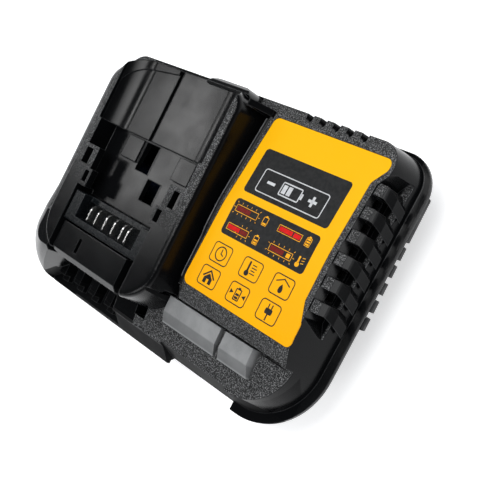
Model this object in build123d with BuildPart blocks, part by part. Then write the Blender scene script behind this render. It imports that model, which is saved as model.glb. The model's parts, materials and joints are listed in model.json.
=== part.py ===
"""Power tool battery charger for slide-on battery packs, as an assembly.

Frame: X runs along the width (battery bay on the -X side, label panel on the
+X side), Y runs from the front edge to the back, Z is up.  The origin is on
the table plane, under the middle of the housing.  Millimetres.
"""

import os
from math import radians, tan

from build123d import *

os.makedirs("parts", exist_ok=True)

# ---------------------------------------------------------------- housing
body_width = 169.0           # over the flange of the top housing, along X
body_depth = 115.0           # over the flange, along Y
half_width = body_width / 2
half_depth = body_depth / 2
corner_back = 14.0           # plan radii of the flange corners
corner_front_left = 10.0
corner_front_right = 30.0
side_taper = 2.6             # how far the right side runs in towards the front
seam_height = 19.0           # where top and bottom housings meet
shelf_width = 3.2            # flat flange round the foot of the top housing
back_shelf_width = 1.4
shelf_thickness = 1.6
flank_draft = 14.0           # degrees that the side walls lean in
front_draft = 20.0
back_draft = 2.0
wall = 2.4                   # moulded wall thickness
reach = 10.0                 # how far a cut runs on past the housing

# ------------------------------------------------------------ battery bay
bay_centre_x = -half_width + 56.9
bay_width = 77.0             # over the two rails
bay_left_x = bay_centre_x - bay_width / 2
bay_right_x = bay_centre_x + bay_width / 2
rail_top_z = 50.0
bay_back_y = half_depth - 4.7
bay_back_lean_z = 43.0       # above this the back ends of the rails lean forward
bay_back_lean = 1.6
bay_nose_y = -half_depth + 17.5   # front end of the arms beside the stop block
bay_draft = 4.0
bay_nose_radius = 17.0
bay_corner_left = 14.0       # plan radii at its back
bay_corner_right = 9.0
bay_edge_round = 2.4
rail_width = 5.4             # beside the floor, in front of the trough
trough_rail_width = 3.8      # beside the trough, where the rails are thinner
trough_floor_z = 42.6
trough_wall_z = 48.4         # foot of the upright part of its side walls
trough_bend = 12.0           # how wide the curved part of its sides is
trough_front_y = -half_depth + 78.4   # step from the trough down to the front floor
trough_lip_rise = 0.9        # raised lip across the left half of its back end
trough_lip_y = half_depth - 7.8
trough_lip_corner = 11.0
floor_z = 40.4               # flat floor in front of the step
floor_front_y = -half_depth + 48.5
lip_width = 8.5              # rail lips that hold the pack down
lip_front_width = 10.6       # their front parts reach further in
lip_step_y = -half_depth + 56.5
lip_back_y = -half_depth + 66.3
lip_thickness = 3.4
groove_width = 2.2
groove_depth = 1.8
groove_x = bay_centre_x - 6.3
valley_width = 5.4           # groove round the outside of the bay
valley_floor_z = 27.0
valley_left_x = bay_centre_x + 22
valley_back_y = half_depth - 5.7
valley_lip_depth = 2.6       # low wall that closes the groove at the back
valley_lip_high_z = 45.4
valley_lip_low_z = 37.8
window_long_y = -half_depth + 61.1
window_short_y = -half_depth + 52.8
window_long = 7.2
window_short = 5.2
window_long_offset = 30.3    # from the bay centre, along X
window_short_offset = 25.4
window_long_width = 4.6
window_short_width = 3.0
latch_slot_width = 9.2
latch_slot_back = (bay_centre_x - 5.0, -half_depth + 71.3, 12.6)   # x, y, length
latch_slot_front = (bay_centre_x + 5.4, -half_depth + 58.9, 9.4)
pad_height = 2.2
pad_left_height = 1.1
pad_length = 10.0
pad_y = -half_depth + 72.6
pad_right_x = bay_centre_x + 20.0
pad_right_width = 10.2
pad_left_x = bay_centre_x - 15.8
pad_left_width = 10.6
latch_ramp_width = 2.4       # lower strip along the right side of each slot
latch_ramp_drop = 1.5

# ------------------------------------------------------------ label panel
strip_front_y = -half_depth + 8.5   # textured strip in front of the panel
strip_front_z = 29.8
strip_back_y = -half_depth + 27.1
strip_back_z = 32.6
panel_front_z = 36.4         # top of the small step at the back of the strip
panel_crown_y = -half_depth + 35.5
panel_crown_z = 40.6
panel_bend_y = 12.0
panel_bend_z = 40.4
panel_back_z = 35.4          # height at the back edge of the housing
panel_bend_radius = 60.0
panel_front_radius = 16.0
panel_edge_x = half_width - 10.5   # right edge of the panel, beside the vents
apron_left_x = -half_width + 8.0   # full front face, left of the facet
apron_foot_z = 20.6
facet_left_x = bay_right_x + 0.1   # flat facet on the front, where the foot has no flange
facet_right_x = half_width - 35.0
facet_top_y = -half_depth + 8.3
facet_foot_y = -half_depth + 2.4
strip_groove_left_x = bay_right_x - 10.9   # dark line along the step behind the strip
strip_groove_right_x = panel_edge_x - 2.0
strip_groove_width = 1.8
strip_groove_depth = 2.0
label_left_x = bay_right_x + 6.0
label_front_y = -half_depth + 34.2
label_back_y = half_depth - 7.4
label_margin = 2.6           # bare border beside the vents
label_front_right_x = half_width - 10.2   # its wider ends reach past the vents
label_back_right_x = half_width - 9.4
label_corner = 2.6
label_depth = 0.5
label_thickness = 0.4
label_gap = 0.15
panel_width = panel_edge_x - bay_right_x
lens_front_y = -half_depth + 15.5
lens_back_y = -half_depth + 26.7
lens_clearance = 0.2
long_lens_left_x = bay_right_x - 2.2
long_lens_right_x = bay_right_x + 0.45 * panel_width
short_lens_left_x = long_lens_right_x + 2.6
short_lens_right_x = bay_right_x + 0.755 * panel_width

# ------------------------------------------------------- front of the bay
block_centre_x = bay_centre_x - 1.4
block_width = 52.6           # contact block between the arms
block_front_y = -half_depth + 32.5
block_back_y = -half_depth + 46.0
block_top_z = 49.0
block_clearance = 0.3
block_flange = 2.0
block_flange_thickness = 2.0
block_flange_front_y = block_front_y + 4.7
block_gap = 0.9              # between the block and the stop behind its front
arm_inner_half = block_width / 2 + block_clearance
stop_left_gap = 1.4
stop_right_gap = 6.4
stop_front_y = -half_depth + 16.5
stop_top_z = 48.0
stop_bevel = 3.0
stop_slot_x = block_centre_x - 10.0   # small slot in its top, towards the left
stop_slot_width = 2.2
stop_slot_length = 6.6
stop_slot_depth = 4.0
gap_floor_z = 24.0           # deep gaps between stop block and arms
recess_left_x = -half_width + 8.5   # open recess with fins, flaring towards the left
recess_right_x = block_centre_x + 6.6
recess_front_y = -half_depth + 2.1
recess_back_y = bay_nose_y - 4.0
recess_floor_z = 22.0
fin_count = 4
fin_pitch = 12.0
fin_first_x = recess_left_x + 11.4
fin_width = 4.4
fin_top_z = 28.0
fin_step_z = 24.6
fin_back_depth = 7.0         # how far the high part of a fin reaches forward
fin_step_depth = 2.6
fin_slot_height = 5.0
fin_slot_margin = 1.2

# left flank and the cheek at its front: height, side, cheek side, front, corner
# (the three places are measured in from the left side and from the front)
cheek_sections = [
    (19.0, 3.2, 1.1, 0.3, 8.0),
    (31.0, 4.7, 2.1, 3.7, 9.5),
    (40.5, 8.3, 5.5, 10.5, 11.0),
    (45.0, 11.4, 9.4, 14.4, 11.0),
    (49.0, 17.7, 16.9, 18.1, 6.0),
]
cheek_inner_x = -half_width + 27.5
cheek_back_y = half_depth - 7.1
cheek_back_lean = 0.12       # how far the back end leans in, per mm of height
cheek_neck_y = -half_depth + 44.0   # where the flank starts to swell
cheek_shoulder_y = -half_depth + 31.5   # where the cheek has reached its full width
cheek_bend = 12.0

# ------------------------------------------------------------ right vents
louvre_count = 6
louvre_pitch = 9.0
louvre_first_y = half_depth - 18.6   # centre of the rearmost louvre
louvre_width = 4.4
louvre_drop = 1.0            # how far the louvre tops lie below the panel
louvre_top_length = 3.6
louvre_root_z = 31.0         # where the louvre turns outwards
louvre_foot_length = 6.8
louvre_sweep = 4.6           # how far the outer end runs towards the front
vent_ledge_back_z = 24.2
vent_ledge_front_z = 28.4
vent_back_y = half_depth - 11.5
vent_front_y = -half_depth + 43.5
vent_window_width = 3.2

# ------------------------------------------------------------- back vents
notch_count = 5
notch_pitch = 6.6
notch_first_x = panel_edge_x - 41.0
notch_width = 3.2
notch_front_y = half_depth - 4.4
notch_foot_z = 27.0

# ----------------------------------------------------------- cord outlet
outlet_x = bay_right_x - 15.5
outlet_width = 26.6
outlet_depth = 15.0
outlet_back_y = half_depth - 1.9
outlet_corner = 6.0
outlet_z = 26.2
outlet_top_z = 42.0
outlet_ridge_z = 44.4        # rounded ridge behind the trough
outlet_ridge_front_y = bay_back_y - 0.8
outlet_bore = 7.2            # bore of the cord bush
bush_diameter = 12.0
bush_length = 3.2
bush_flange = 1.1
bush_flange_thickness = 2.0
bush_room = 8.0              # open space in front of the bush, inside

# --------------------------------------------------------- bottom housing
hull_inset = 1.5             # step in under the flange
foot_inset = 12.0            # how far the base is drawn in at the bottom
foot_height = 1.0            # moulded feet under the base
foot_diameter = 12.0
foot_x = half_width - 34.5
foot_y = half_depth - 23.5
floor_thickness = 3.0
side_rib_count = 6           # upright ribs under the flange, on both sides
side_rib_pitch = 7.1
side_rib_first_y = half_depth - 26.8
side_rib_width = 4.6
side_rib_inset = 1.2
side_rib_depth = 12.0
side_rib_lip = 1.5
side_rib_hollow = 1.9
side_rib_foot_z = 6.0
side_rib_foot_x = half_width - 7.9
corner_rib_back_y = half_depth - 12.5   # the rearmost rib is wide and reaches the corner
corner_rib_bulge = 1.6
keyhole_spacing = 100.0
keyhole_y = 4.0
keyhole_entry = 9.0          # a screw head passes here
keyhole_slot = 4.8
keyhole_travel = 9.0
base_slot_count = 5          # air slots in the floor
base_slot_pitch = 7.0
base_slot_length = 18.0
base_slot_width = 2.6
base_slot_y = -20.0
base_slot_x = 32.0

# ------------------------------------------------------------ circuit board
board_width = body_width - 57.0
board_front_y = -half_depth + 21.5
board_back_y = half_depth - 15.5
board_thickness = 1.6
board_post_height = 3.0
board_post_diameter = 6.4
board_screw_x = board_width / 2 - 5.0
board_screw_front_y = board_front_y + 12.0
board_screw_back_y = board_back_y - 5.0
board_screw_shank = 2.4
board_screw_head = 5.0
board_screw_head_height = 2.0
board_screw_depth = 5.0
board_screw_gap = 0.1

# -------------------------------------------------- components on the board
board_left_x = -board_width / 2
board_right_x = board_width / 2
core_x = board_right_x - 21.0   # transformer, under the label panel
core_y = board_back_y - 28.0
core_width = 30.0
core_thickness = 11.0
core_height = 24.0
core_leg = 4.6               # outer legs and yokes
core_centre_leg = 8.0
bobbin_base = 2.4            # base that carries the core above the board
bobbin_depth = 25.0
bobbin_wall = 1.0
bobbin_gap = 0.2
winding_depth = 22.0
bulk_x = board_left_x + 9.0
bulk_y = board_back_y - 38.0
bulk_diameter = 16.0
bulk_height = 26.0
output_cap_y = board_back_y - 57.0
output_cap_spots = [(board_right_x - 32.0, output_cap_y), (board_right_x - 20.0, output_cap_y)]
output_cap_diameter = 10.0
output_cap_height = 18.0
filter_cap_x = board_left_x + 16.5   # suppression capacitor near the cord outlet
filter_cap_y = board_back_y - 8.0
filter_cap_width = 15.0
filter_cap_depth = 7.0
filter_cap_height = 14.0
choke_x = filter_cap_x + 18.5
choke_y = board_back_y - 12.0
choke_outer = 18.0
choke_inner = 9.0
choke_height = 9.0
choke_turns = 7
choke_turn_angle = 17.0
choke_wire = 1.2
fuse_x = choke_x + 19.0
fuse_y = board_back_y - 6.0
fuse_length = 9.0
fuse_width = 4.2
fuse_height = 7.6
varistor_x = fuse_x
varistor_y = board_back_y - 15.0
varistor_diameter = 10.0
varistor_thickness = 4.0
bridge_x = bulk_x
bridge_y = board_back_y - 20.0
bridge_width = 15.0
bridge_depth = 4.0
bridge_height = 12.0
primary_sink_x = bulk_x + 25.0
primary_sink_y = board_back_y - 39.0
secondary_sink_x = board_right_x - 1.0
secondary_sink_y = board_back_y - 48.0
sink_length = 26.0
sink_height = 20.0
sink_plate = 2.0
sink_fin_count = 5
sink_fin_depth = 3.2
sink_fin_thickness = 1.2
package_width = 10.2         # power transistor and diode packages
package_depth = 4.4
package_height = 15.0
opto_x = primary_sink_x + 25.0
opto_y = core_y - 8.0
chip_x = opto_x - 1.0
chip_y = board_front_y + 10.0
chip_size = 9.0
chip_height = 1.6

# ----------------------------------------------------------------- contacts
blade_spots = [-12.4, -7.1, -0.9, 4.9, 10.6, 14.3]   # from the block's centre, along X
blade_thickness = 0.8
blade_length = 7.8
blade_front_y = block_front_y + 3.3
blade_top_z = 48.2
blade_foot_z = 40.4
blade_tail_offset = 2.4
blade_tail_length = 2.0
blade_clearance = 0.08
pocket_centre_x = block_centre_x + 0.9
pocket_width = 40.8
pocket_front_y = block_front_y + 2.8
pocket_back_y = block_back_y - 2.2
pocket_floor_z = 41.2
pocket_back_top_z = 44.2

# ------------------------------------------------------------------- lenses
lens_back_top_z = 34.2
lens_ridge_y = lens_back_y - 6.6
lens_ridge_z = 34.0
lens_front_top_z = 31.7
lens_foot_z = 26.0
lens_bevel = 2.0
lens_leg_width = 4.0
lens_leg_depth = 3.6
lens_leg_y = lens_back_y - 2.6
led_height = 1.6
led_size = 3.0
led_gap = 0.3
long_lens_length = long_lens_right_x - long_lens_left_x
charge_led_spots = [long_lens_left_x + share * long_lens_length for share in (0.27, 0.73)]
status_led_spots = [(short_lens_left_x + short_lens_right_x) / 2]

# ----------------------------------------------------------------- screws
screw_x = half_width - 21.5
screw_back_y = half_depth - 18.5
screw_front_y = -half_depth + 22.5
screw_boss = 8.4
screw_pilot = 3.0
screw_clear = 4.0
screw_head = 6.6
screw_well = 7.2             # well that the screw head goes up into
screw_seat_z = 6.0
screw_head_height = 2.4
screw_length = 16.0
boss_split_z = 12.0
boss_top_back_left_z = 38.4  # where the bosses meet the underside of the top
boss_top_back_right_z = 36.4
boss_top_front_z = 30.0

floor_top_z = foot_height + floor_thickness
board_bottom_z = floor_top_z + board_post_height
board_top_z = board_bottom_z + board_thickness
trough_left_x = bay_left_x + trough_rail_width
trough_right_x = bay_right_x - trough_rail_width
floor_left_x = bay_left_x + rail_width
floor_right_x = bay_right_x - rail_width
stop_back_y = block_front_y - block_gap
stop_left_x = block_centre_x - arm_inner_half + stop_left_gap
stop_right_x = block_centre_x + arm_inner_half - stop_right_gap
bush_seat_y = outlet_back_y - bush_length
screw_spots = {
    (-screw_x, screw_back_y): boss_top_back_left_z,
    (screw_x, screw_back_y): boss_top_back_right_z,
    (-screw_x, screw_front_y): boss_top_front_z,
    (screw_x, screw_front_y): boss_top_front_z,
}


def rounded_plan(left, right, front, back, back_radius, left_radius, right_radius, taper=0.0):
    """Rectangle in plan with its own radius at each front corner.

    The taper draws the right side in towards the front.
    """
    with BuildSketch(mode=Mode.PRIVATE) as sketch:
        with BuildLine():
            Polyline((left, front), (right - taper, front), (right, back), (left, back), close=True)
        make_face()
        fillet(sketch.vertices().group_by(Axis.Y)[-1], back_radius)
        fillet(sketch.vertices().sort_by_distance((left, front))[0], left_radius)
        fillet(sketch.vertices().sort_by_distance((right - taper, front))[0], right_radius)
    return sketch.sketch


def rim_plan(inset):
    """Outline of the flange at the seam, moved in by inset."""
    return rounded_plan(
        -half_width + inset,
        half_width - inset,
        -half_depth + inset,
        half_depth - inset,
        corner_back - inset,
        corner_front_left - inset,
        corner_front_right - inset,
        side_taper,
    )


def skirt_plan(height):
    """Outline of the leaning walls of the top housing at a height."""
    rise = height - seam_height
    side = half_width - shelf_width - rise * tan(radians(flank_draft))
    front = half_depth - shelf_width - rise * tan(radians(front_draft))
    back = half_depth - back_shelf_width - rise * tan(radians(back_draft))
    shrink = shelf_width + rise * tan(radians(flank_draft)) / 2
    return rounded_plan(
        -side,
        side,
        -front,
        back,
        corner_back - shrink,
        corner_front_left - shelf_width,
        corner_front_right - shrink,
        side_taper,
    )


def chamfered_plan(left, right, front, back, back_radius, left_radius, right_radius, taper):
    """Inside outline with flat corners that keep clear of the outer radii."""
    share = 0.6
    with BuildSketch(mode=Mode.PRIVATE) as sketch:
        with BuildLine():
            Polyline((left, front), (right - taper, front), (right, back), (left, back), close=True)
        make_face()
        chamfer(sketch.vertices().group_by(Axis.Y)[-1], share * back_radius)
        chamfer(sketch.vertices().sort_by_distance((left, front))[0], share * left_radius)
        chamfer(sketch.vertices().sort_by_distance((right - taper, front))[0], share * right_radius)
    return sketch.sketch


def skirt_hollow_plan(height):
    """Inside outline of the leaning walls at a height."""
    rise = height - seam_height
    side = half_width - shelf_width - rise * tan(radians(flank_draft)) - wall
    front = half_depth - shelf_width - rise * tan(radians(front_draft)) - wall
    back = half_depth - back_shelf_width - rise * tan(radians(back_draft)) - wall
    return chamfered_plan(
        -side,
        side,
        -front,
        back,
        corner_back,
        corner_front_left,
        corner_front_right,
        side_taper,
    )


def roof_profile(drop):
    """Side profile of the top surface (local x is Y, local y is Z)."""
    end_y = half_depth + reach
    strip_slope = (strip_back_z - strip_front_z) / (strip_back_y - strip_front_y)
    front_z = strip_front_z - strip_slope * (end_y + strip_front_y)
    back_slope = (panel_back_z - panel_bend_z) / (half_depth - panel_bend_y)
    back_z = panel_back_z + back_slope * reach
    with BuildSketch(mode=Mode.PRIVATE) as sketch:
        with BuildLine():
            Polyline(
                (-end_y, -1),
                (-end_y, front_z - drop),
                (strip_back_y, strip_back_z - drop),
                (strip_back_y + 0.2, panel_front_z - drop),
                (panel_crown_y, panel_crown_z - drop),
                (panel_bend_y, panel_bend_z - drop),
                (end_y, back_z - drop),
                (end_y, -1),
                close=True,
            )
        make_face()
        crown = sketch.vertices().sort_by_distance((panel_crown_y, panel_crown_z - drop))[0]
        fillet(crown, panel_front_radius)
        bend = sketch.vertices().sort_by_distance((panel_bend_y, panel_bend_z - drop))[0]
        fillet(bend, panel_bend_radius)
    return sketch.sketch


def bay_plan(grow):
    """Outline of the raised frame round the battery bay, at rail height."""
    left = bay_left_x - grow
    right = bay_right_x + grow
    front = bay_nose_y - grow
    back = bay_back_y + grow
    with BuildSketch(mode=Mode.PRIVATE) as sketch:
        with Locations(((left + right) / 2, (front + back) / 2)):
            Rectangle(right - left, back - front)
        for spot, radius in (
            ((left, back), bay_corner_left),
            ((right, back), bay_corner_right),
            ((left, front), bay_nose_radius),
            ((right, front), bay_nose_radius),
        ):
            fillet(sketch.vertices().sort_by_distance(spot)[0], radius + grow)
    return sketch.sketch


def label_plan(grow):
    """Outline of the label, drawn in beside the vents."""
    narrow_x = panel_edge_x - label_margin
    with BuildSketch(mode=Mode.PRIVATE) as sketch:
        with BuildLine():
            Polyline(
                (label_left_x - 0.6, label_front_y + 0.8),
                (label_front_right_x, label_front_y),
                (label_front_right_x, vent_front_y),
                (narrow_x, vent_front_y + 8),
                (narrow_x, vent_back_y - 6),
                (label_back_right_x, vent_back_y),
                (label_back_right_x, label_back_y),
                (label_left_x + 1.4, label_back_y),
                close=True,
            )
        make_face()
        fillet(sketch.vertices(), label_corner)
        if grow:
            offset(amount=grow)
    return sketch.sketch


# ------------------------------------------------- raised frame of the bay
with BuildPart() as bay_frame:
    with BuildSketch(Plane.XY.offset(rail_top_z)):
        add(bay_plan(0))
    extrude(amount=-(rail_top_z - seam_height - 1), taper=-bay_draft)
    fillet(bay_frame.faces().sort_by(Axis.Z)[-1].edges(), bay_edge_round)
    # the back ends of the rails lean forward
    with BuildSketch(Plane.YZ.offset(bay_left_x - reach)):
        with BuildLine():
            Polyline(
                (bay_back_y + reach, bay_back_lean_z),
                (bay_back_y + reach, rail_top_z + 1),
                (bay_back_y - bay_back_lean, rail_top_z + 1),
                (bay_back_y + 0.4, bay_back_lean_z),
                close=True,
            )
        make_face()
    extrude(amount=bay_width + 2 * reach, mode=Mode.SUBTRACT)


def cheek_plan(height, side_inset, left_inset, front_inset, corner):
    """Plan of the left flank with the cheek that swells out at its front."""
    side = -half_width + side_inset
    left = -half_width + left_inset
    front = -half_depth + front_inset
    back = cheek_back_y - cheek_back_lean * (height - seam_height)
    with BuildSketch(mode=Mode.PRIVATE) as sketch:
        with BuildLine():
            Polyline(
                (cheek_inner_x, back),
                (side, back),
                (side, cheek_neck_y),
                (left, cheek_shoulder_y),
                (left, front),
                (cheek_inner_x, front),
                close=True,
            )
        make_face()
        for spot, radius in (
            ((side, back), corner_back - 5),
            ((side, cheek_neck_y), cheek_bend),
            ((left, cheek_shoulder_y), cheek_bend),
            ((left, front), corner),
        ):
            fillet(sketch.vertices().sort_by_distance(spot)[0], radius)
    return sketch.sketch


with BuildPart() as cheek:
    for section in cheek_sections:
        with BuildSketch(Plane.XY.offset(section[0])):
            add(cheek_plan(*section))
    loft()

# ---------------------------------------------- groove outside of the bay
with BuildPart() as valley:
    with BuildSketch(Plane.XY.offset(valley_floor_z)):
        add(bay_plan(valley_width))
        with Locations((valley_left_x - half_width, 0)):
            Rectangle(body_width, 2 * body_depth, mode=Mode.SUBTRACT)
        with Locations((0, valley_back_y - valley_lip_depth + half_depth)):
            Rectangle(2 * body_width, body_depth, mode=Mode.SUBTRACT)
    extrude(amount=30)
    add(bay_frame.part, mode=Mode.SUBTRACT)

# --------------------------------------------- hollow of the top housing
stop_width = stop_right_x - stop_left_x
stop_centre_x = (stop_left_x + stop_right_x) / 2
with BuildPart() as hollow:
    with BuildSketch(Plane.XY.offset(seam_height)):
        add(skirt_hollow_plan(seam_height))
    with BuildSketch(Plane.XY.offset(rail_top_z)):
        add(skirt_hollow_plan(rail_top_z))
    loft(ruled=True)
    with BuildSketch(Plane.YZ):
        add(roof_profile(wall))
    extrude(amount=half_width, both=True, mode=Mode.INTERSECT)
    # what stays solid: under the bay floor, round the recess, by the vents
    with BuildSketch(Plane.XY.offset(floor_z - wall)):
        with Locations((bay_right_x + wall - half_width, 0)):
            Rectangle(body_width, 2 * half_depth)
    extrude(amount=30, mode=Mode.SUBTRACT)
    with BuildSketch(Plane.XY.offset(valley_floor_z - wall)):
        add(bay_plan(valley_width + wall))
        with Locations((valley_left_x - wall - half_width, 0)):
            Rectangle(body_width, 2 * body_depth, mode=Mode.SUBTRACT)
        with Locations((bay_centre_x, bay_nose_y + bay_nose_radius + half_depth)):
            Rectangle(bay_width - 2 * wall, body_depth, mode=Mode.SUBTRACT)
    extrude(amount=30, mode=Mode.SUBTRACT)
    with BuildSketch(Plane.XY.offset(recess_floor_z - wall)):
        with Locations(((recess_left_x + recess_right_x) / 2, recess_back_y + wall - 20)):
            Rectangle(recess_right_x - recess_left_x + 2 * wall, 40)
        with Locations((block_centre_x, stop_back_y + wall - 20)):
            Rectangle(2 * arm_inner_half + 2 * wall, 40)
    extrude(amount=40, mode=Mode.SUBTRACT)
    with BuildSketch(Plane.XY.offset(vent_ledge_back_z - wall)):
        with Locations((panel_edge_x - wall + 20, (vent_back_y + vent_front_y) / 2)):
            Rectangle(40, vent_back_y - vent_front_y + 2 * wall)
    extrude(amount=40, mode=Mode.SUBTRACT)
    # the stop block is hollow too
    with BuildSketch(Plane.XY.offset(seam_height)):
        with Locations((stop_centre_x, (stop_back_y + stop_front_y) / 2)):
            Rectangle(stop_width - 2 * wall, stop_back_y - stop_front_y - 2 * wall)
    extrude(amount=stop_top_z - stop_slot_depth - wall - seam_height)

# --------------------------------------------------- trough for the pack


def trough_profile(rise):
    """Cross-section of the trough with its curved sides (local x is X)."""
    floor = trough_floor_z + rise
    drop = trough_wall_z - floor
    with BuildSketch(mode=Mode.PRIVATE) as sketch:
        with BuildLine():
            Line((trough_left_x, rail_top_z + 5), (trough_left_x, trough_wall_z))
            ThreePointArc(
                (trough_left_x, trough_wall_z),
                (trough_left_x + 0.31 * trough_bend, floor + 0.34 * drop),
                (trough_left_x + trough_bend, floor),
            )
            Line((trough_left_x + trough_bend, floor), (trough_right_x - trough_bend, floor))
            ThreePointArc(
                (trough_right_x - trough_bend, floor),
                (trough_right_x - 0.31 * trough_bend, floor + 0.34 * drop),
                (trough_right_x, trough_wall_z),
            )
            Line((trough_right_x, trough_wall_z), (trough_right_x, rail_top_z + 5))
            Line((trough_right_x, rail_top_z + 5), (trough_left_x, rail_top_z + 5))
        make_face()
    return sketch.sketch


with BuildPart() as trough:
    with BuildSketch(Plane.XZ.offset(-trough_front_y)):
        add(trough_profile(0))
    extrude(amount=-half_depth)
    # the left half ends at a low lip with a rounded corner
    with BuildSketch(Plane.XY.offset(trough_floor_z - 1)):
        with Locations(((groove_x + trough_right_x) / 2, trough_front_y + half_depth / 2)):
            Rectangle(trough_right_x - groove_x, half_depth)
        with BuildSketch(mode=Mode.PRIVATE) as lip_area:
            with BuildLine():
                Polyline(
                    (trough_left_x, trough_front_y),
                    (groove_x, trough_front_y),
                    (groove_x, trough_lip_y + 1.4),
                    (trough_left_x, trough_lip_y - 1.4),
                    close=True,
                )
            make_face()
            corner = lip_area.vertices().sort_by_distance((trough_left_x, trough_lip_y))[0]
            fillet(corner, trough_lip_corner)
        add(lip_area.sketch)
    extrude(amount=20, mode=Mode.INTERSECT)
    with BuildSketch(Plane.XZ.offset(-trough_front_y)):
        add(trough_profile(trough_lip_rise))
    extrude(amount=-half_depth)

# ------------------------------------------------------------- top housing
with BuildPart() as top_housing:
    with BuildSketch(Plane.XY.offset(seam_height)):
        add(skirt_plan(seam_height))
    with BuildSketch(Plane.XY.offset(rail_top_z)):
        add(skirt_plan(rail_top_z))
    loft(ruled=True)
    with BuildSketch(Plane.YZ):
        add(roof_profile(0))
    extrude(amount=half_width, both=True, mode=Mode.INTERSECT)
    with BuildSketch(Plane.XY.offset(seam_height)):
        add(rim_plan(0))
    extrude(amount=shelf_thickness)
    # front face that runs out to the rim, left of the facet
    with BuildSketch(Plane.YZ.offset(apron_left_x)):
        with BuildLine():
            Polyline(
                (strip_front_y + 4, seam_height),
                (strip_front_y + 4, strip_front_z),
                (strip_front_y, strip_front_z),
                (-half_depth, apron_foot_z),
                (-half_depth, seam_height),
                close=True,
            )
        make_face()
    extrude(amount=facet_left_x - apron_left_x)
    add(bay_frame.part)
    add(cheek.part)
    add(valley.part, mode=Mode.SUBTRACT)
    # low wall that closes the groove at the back, falling away from the rail
    with BuildSketch(Plane.XZ.offset(-valley_back_y)):
        with BuildLine():
            Polyline(
                (bay_right_x - 1, seam_height),
                (bay_right_x + valley_width + 1, seam_height),
                (bay_right_x + valley_width + 1, valley_lip_low_z),
                (bay_right_x - 1, valley_lip_high_z),
                close=True,
            )
        make_face()
    extrude(amount=valley_lip_depth)
    # boss for the cord outlet behind the bay
    with BuildSketch(Plane.XY.offset(seam_height)):
        with Locations((outlet_x, outlet_back_y - outlet_depth / 2)):
            RectangleRounded(outlet_width, outlet_depth, outlet_corner)
    extrude(amount=outlet_top_z - seam_height)
    add(hollow.part, mode=Mode.SUBTRACT)
    # front recess, open to the front, with its fins
    with BuildSketch(Plane.XY.offset(recess_floor_z)):
        with BuildLine():
            Polyline(
                (recess_right_x, recess_back_y),
                (block_centre_x - arm_inner_half, recess_back_y),
                (block_centre_x - arm_inner_half, bay_nose_y),
                (recess_left_x, recess_front_y),
                (recess_left_x, -half_depth - 5),
                (recess_right_x, -half_depth - 5),
                close=True,
            )
        make_face()
    extrude(amount=40, mode=Mode.SUBTRACT)
    # deep gaps beside the stop block, which then stands lower than the arms
    with BuildSketch(Plane.XY.offset(gap_floor_z)):
        with Locations((block_centre_x, (stop_back_y + recess_back_y) / 2 - 1)):
            Rectangle(2 * arm_inner_half, stop_back_y - recess_back_y + 2)
        with Locations((stop_centre_x, (stop_back_y + recess_back_y) / 2 - 1)):
            Rectangle(stop_width, stop_back_y - recess_back_y + 2, mode=Mode.SUBTRACT)
    extrude(amount=40, mode=Mode.SUBTRACT)
    with BuildSketch(Plane.XY.offset(stop_top_z)):
        with Locations((block_centre_x, (stop_back_y + recess_back_y) / 2)):
            Rectangle(2 * arm_inner_half, stop_back_y - recess_back_y)
    extrude(amount=10, mode=Mode.SUBTRACT)
    with BuildSketch(Plane.YZ.offset(stop_centre_x)):
        with BuildLine():
            Polyline(
                (stop_front_y, rail_top_z),
                (stop_front_y, stop_top_z - stop_bevel),
                (stop_front_y + stop_bevel, stop_top_z),
                (stop_front_y + stop_bevel, rail_top_z),
                close=True,
            )
        make_face()
    extrude(amount=stop_width / 2, both=True, mode=Mode.SUBTRACT)
    # small slot in the top of the stop block
    with BuildSketch(Plane.XY.offset(stop_top_z - stop_slot_depth)):
        with Locations((stop_slot_x, (stop_back_y + stop_front_y) / 2 + 1)):
            Rectangle(stop_slot_width, stop_slot_length)
    extrude(amount=10, mode=Mode.SUBTRACT)
    # fins in the recess
    with BuildSketch(Plane.XY.offset(recess_floor_z)):
        for i in range(fin_count):
            with Locations((fin_first_x + i * fin_pitch, recess_back_y - fin_back_depth / 2)):
                Rectangle(fin_width, fin_back_depth)
    extrude(amount=fin_top_z - recess_floor_z)
    with BuildSketch(Plane.XY.offset(recess_floor_z)):
        for i in range(fin_count):
            with Locations(
                (
                    fin_first_x + i * fin_pitch,
                    recess_back_y - fin_back_depth - fin_step_depth / 2,
                )
            ):
                Rectangle(fin_width, fin_step_depth)
    extrude(amount=fin_step_z - recess_floor_z)
    # air slots through the wall between the fins
    slot_z = recess_floor_z + fin_slot_height / 2 + 2
    with BuildSketch(Plane.XZ.offset(-recess_back_y - 1)):
        for i in range(fin_count - 1):
            with Locations((fin_first_x + (i + 0.5) * fin_pitch, slot_z)):
                Rectangle(fin_pitch - fin_width - 2 * fin_slot_margin, fin_slot_height)
    extrude(amount=-(wall + 2), mode=Mode.SUBTRACT)

    # trough for the pack, open at the back, and the ridge of the outlet boss
    add(trough.part, mode=Mode.SUBTRACT)
    with BuildPart(mode=Mode.PRIVATE) as outlet_ridge:
        with BuildSketch(Plane.XY.offset(trough_floor_z - 4)):
            with Locations((outlet_x, outlet_back_y - outlet_depth / 2)):
                RectangleRounded(outlet_width, outlet_depth, outlet_corner)
        extrude(amount=rail_top_z - trough_floor_z)
        with BuildSketch(Plane.YZ):
            with BuildLine():
                Polyline(
                    (outlet_ridge_front_y, trough_floor_z - 4),
                    (outlet_back_y, trough_floor_z - 4),
                    (outlet_back_y, outlet_ridge_z - 2.4),
                    (outlet_back_y - 1.2, outlet_ridge_z - 0.6),
                    (outlet_back_y - 2.4, outlet_ridge_z),
                    (outlet_ridge_front_y + 0.8, outlet_ridge_z),
                    (outlet_ridge_front_y, outlet_ridge_z - 0.8),
                    close=True,
                )
            make_face()
        extrude(amount=half_width, both=True, mode=Mode.INTERSECT)
    add(outlet_ridge.part)
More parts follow.
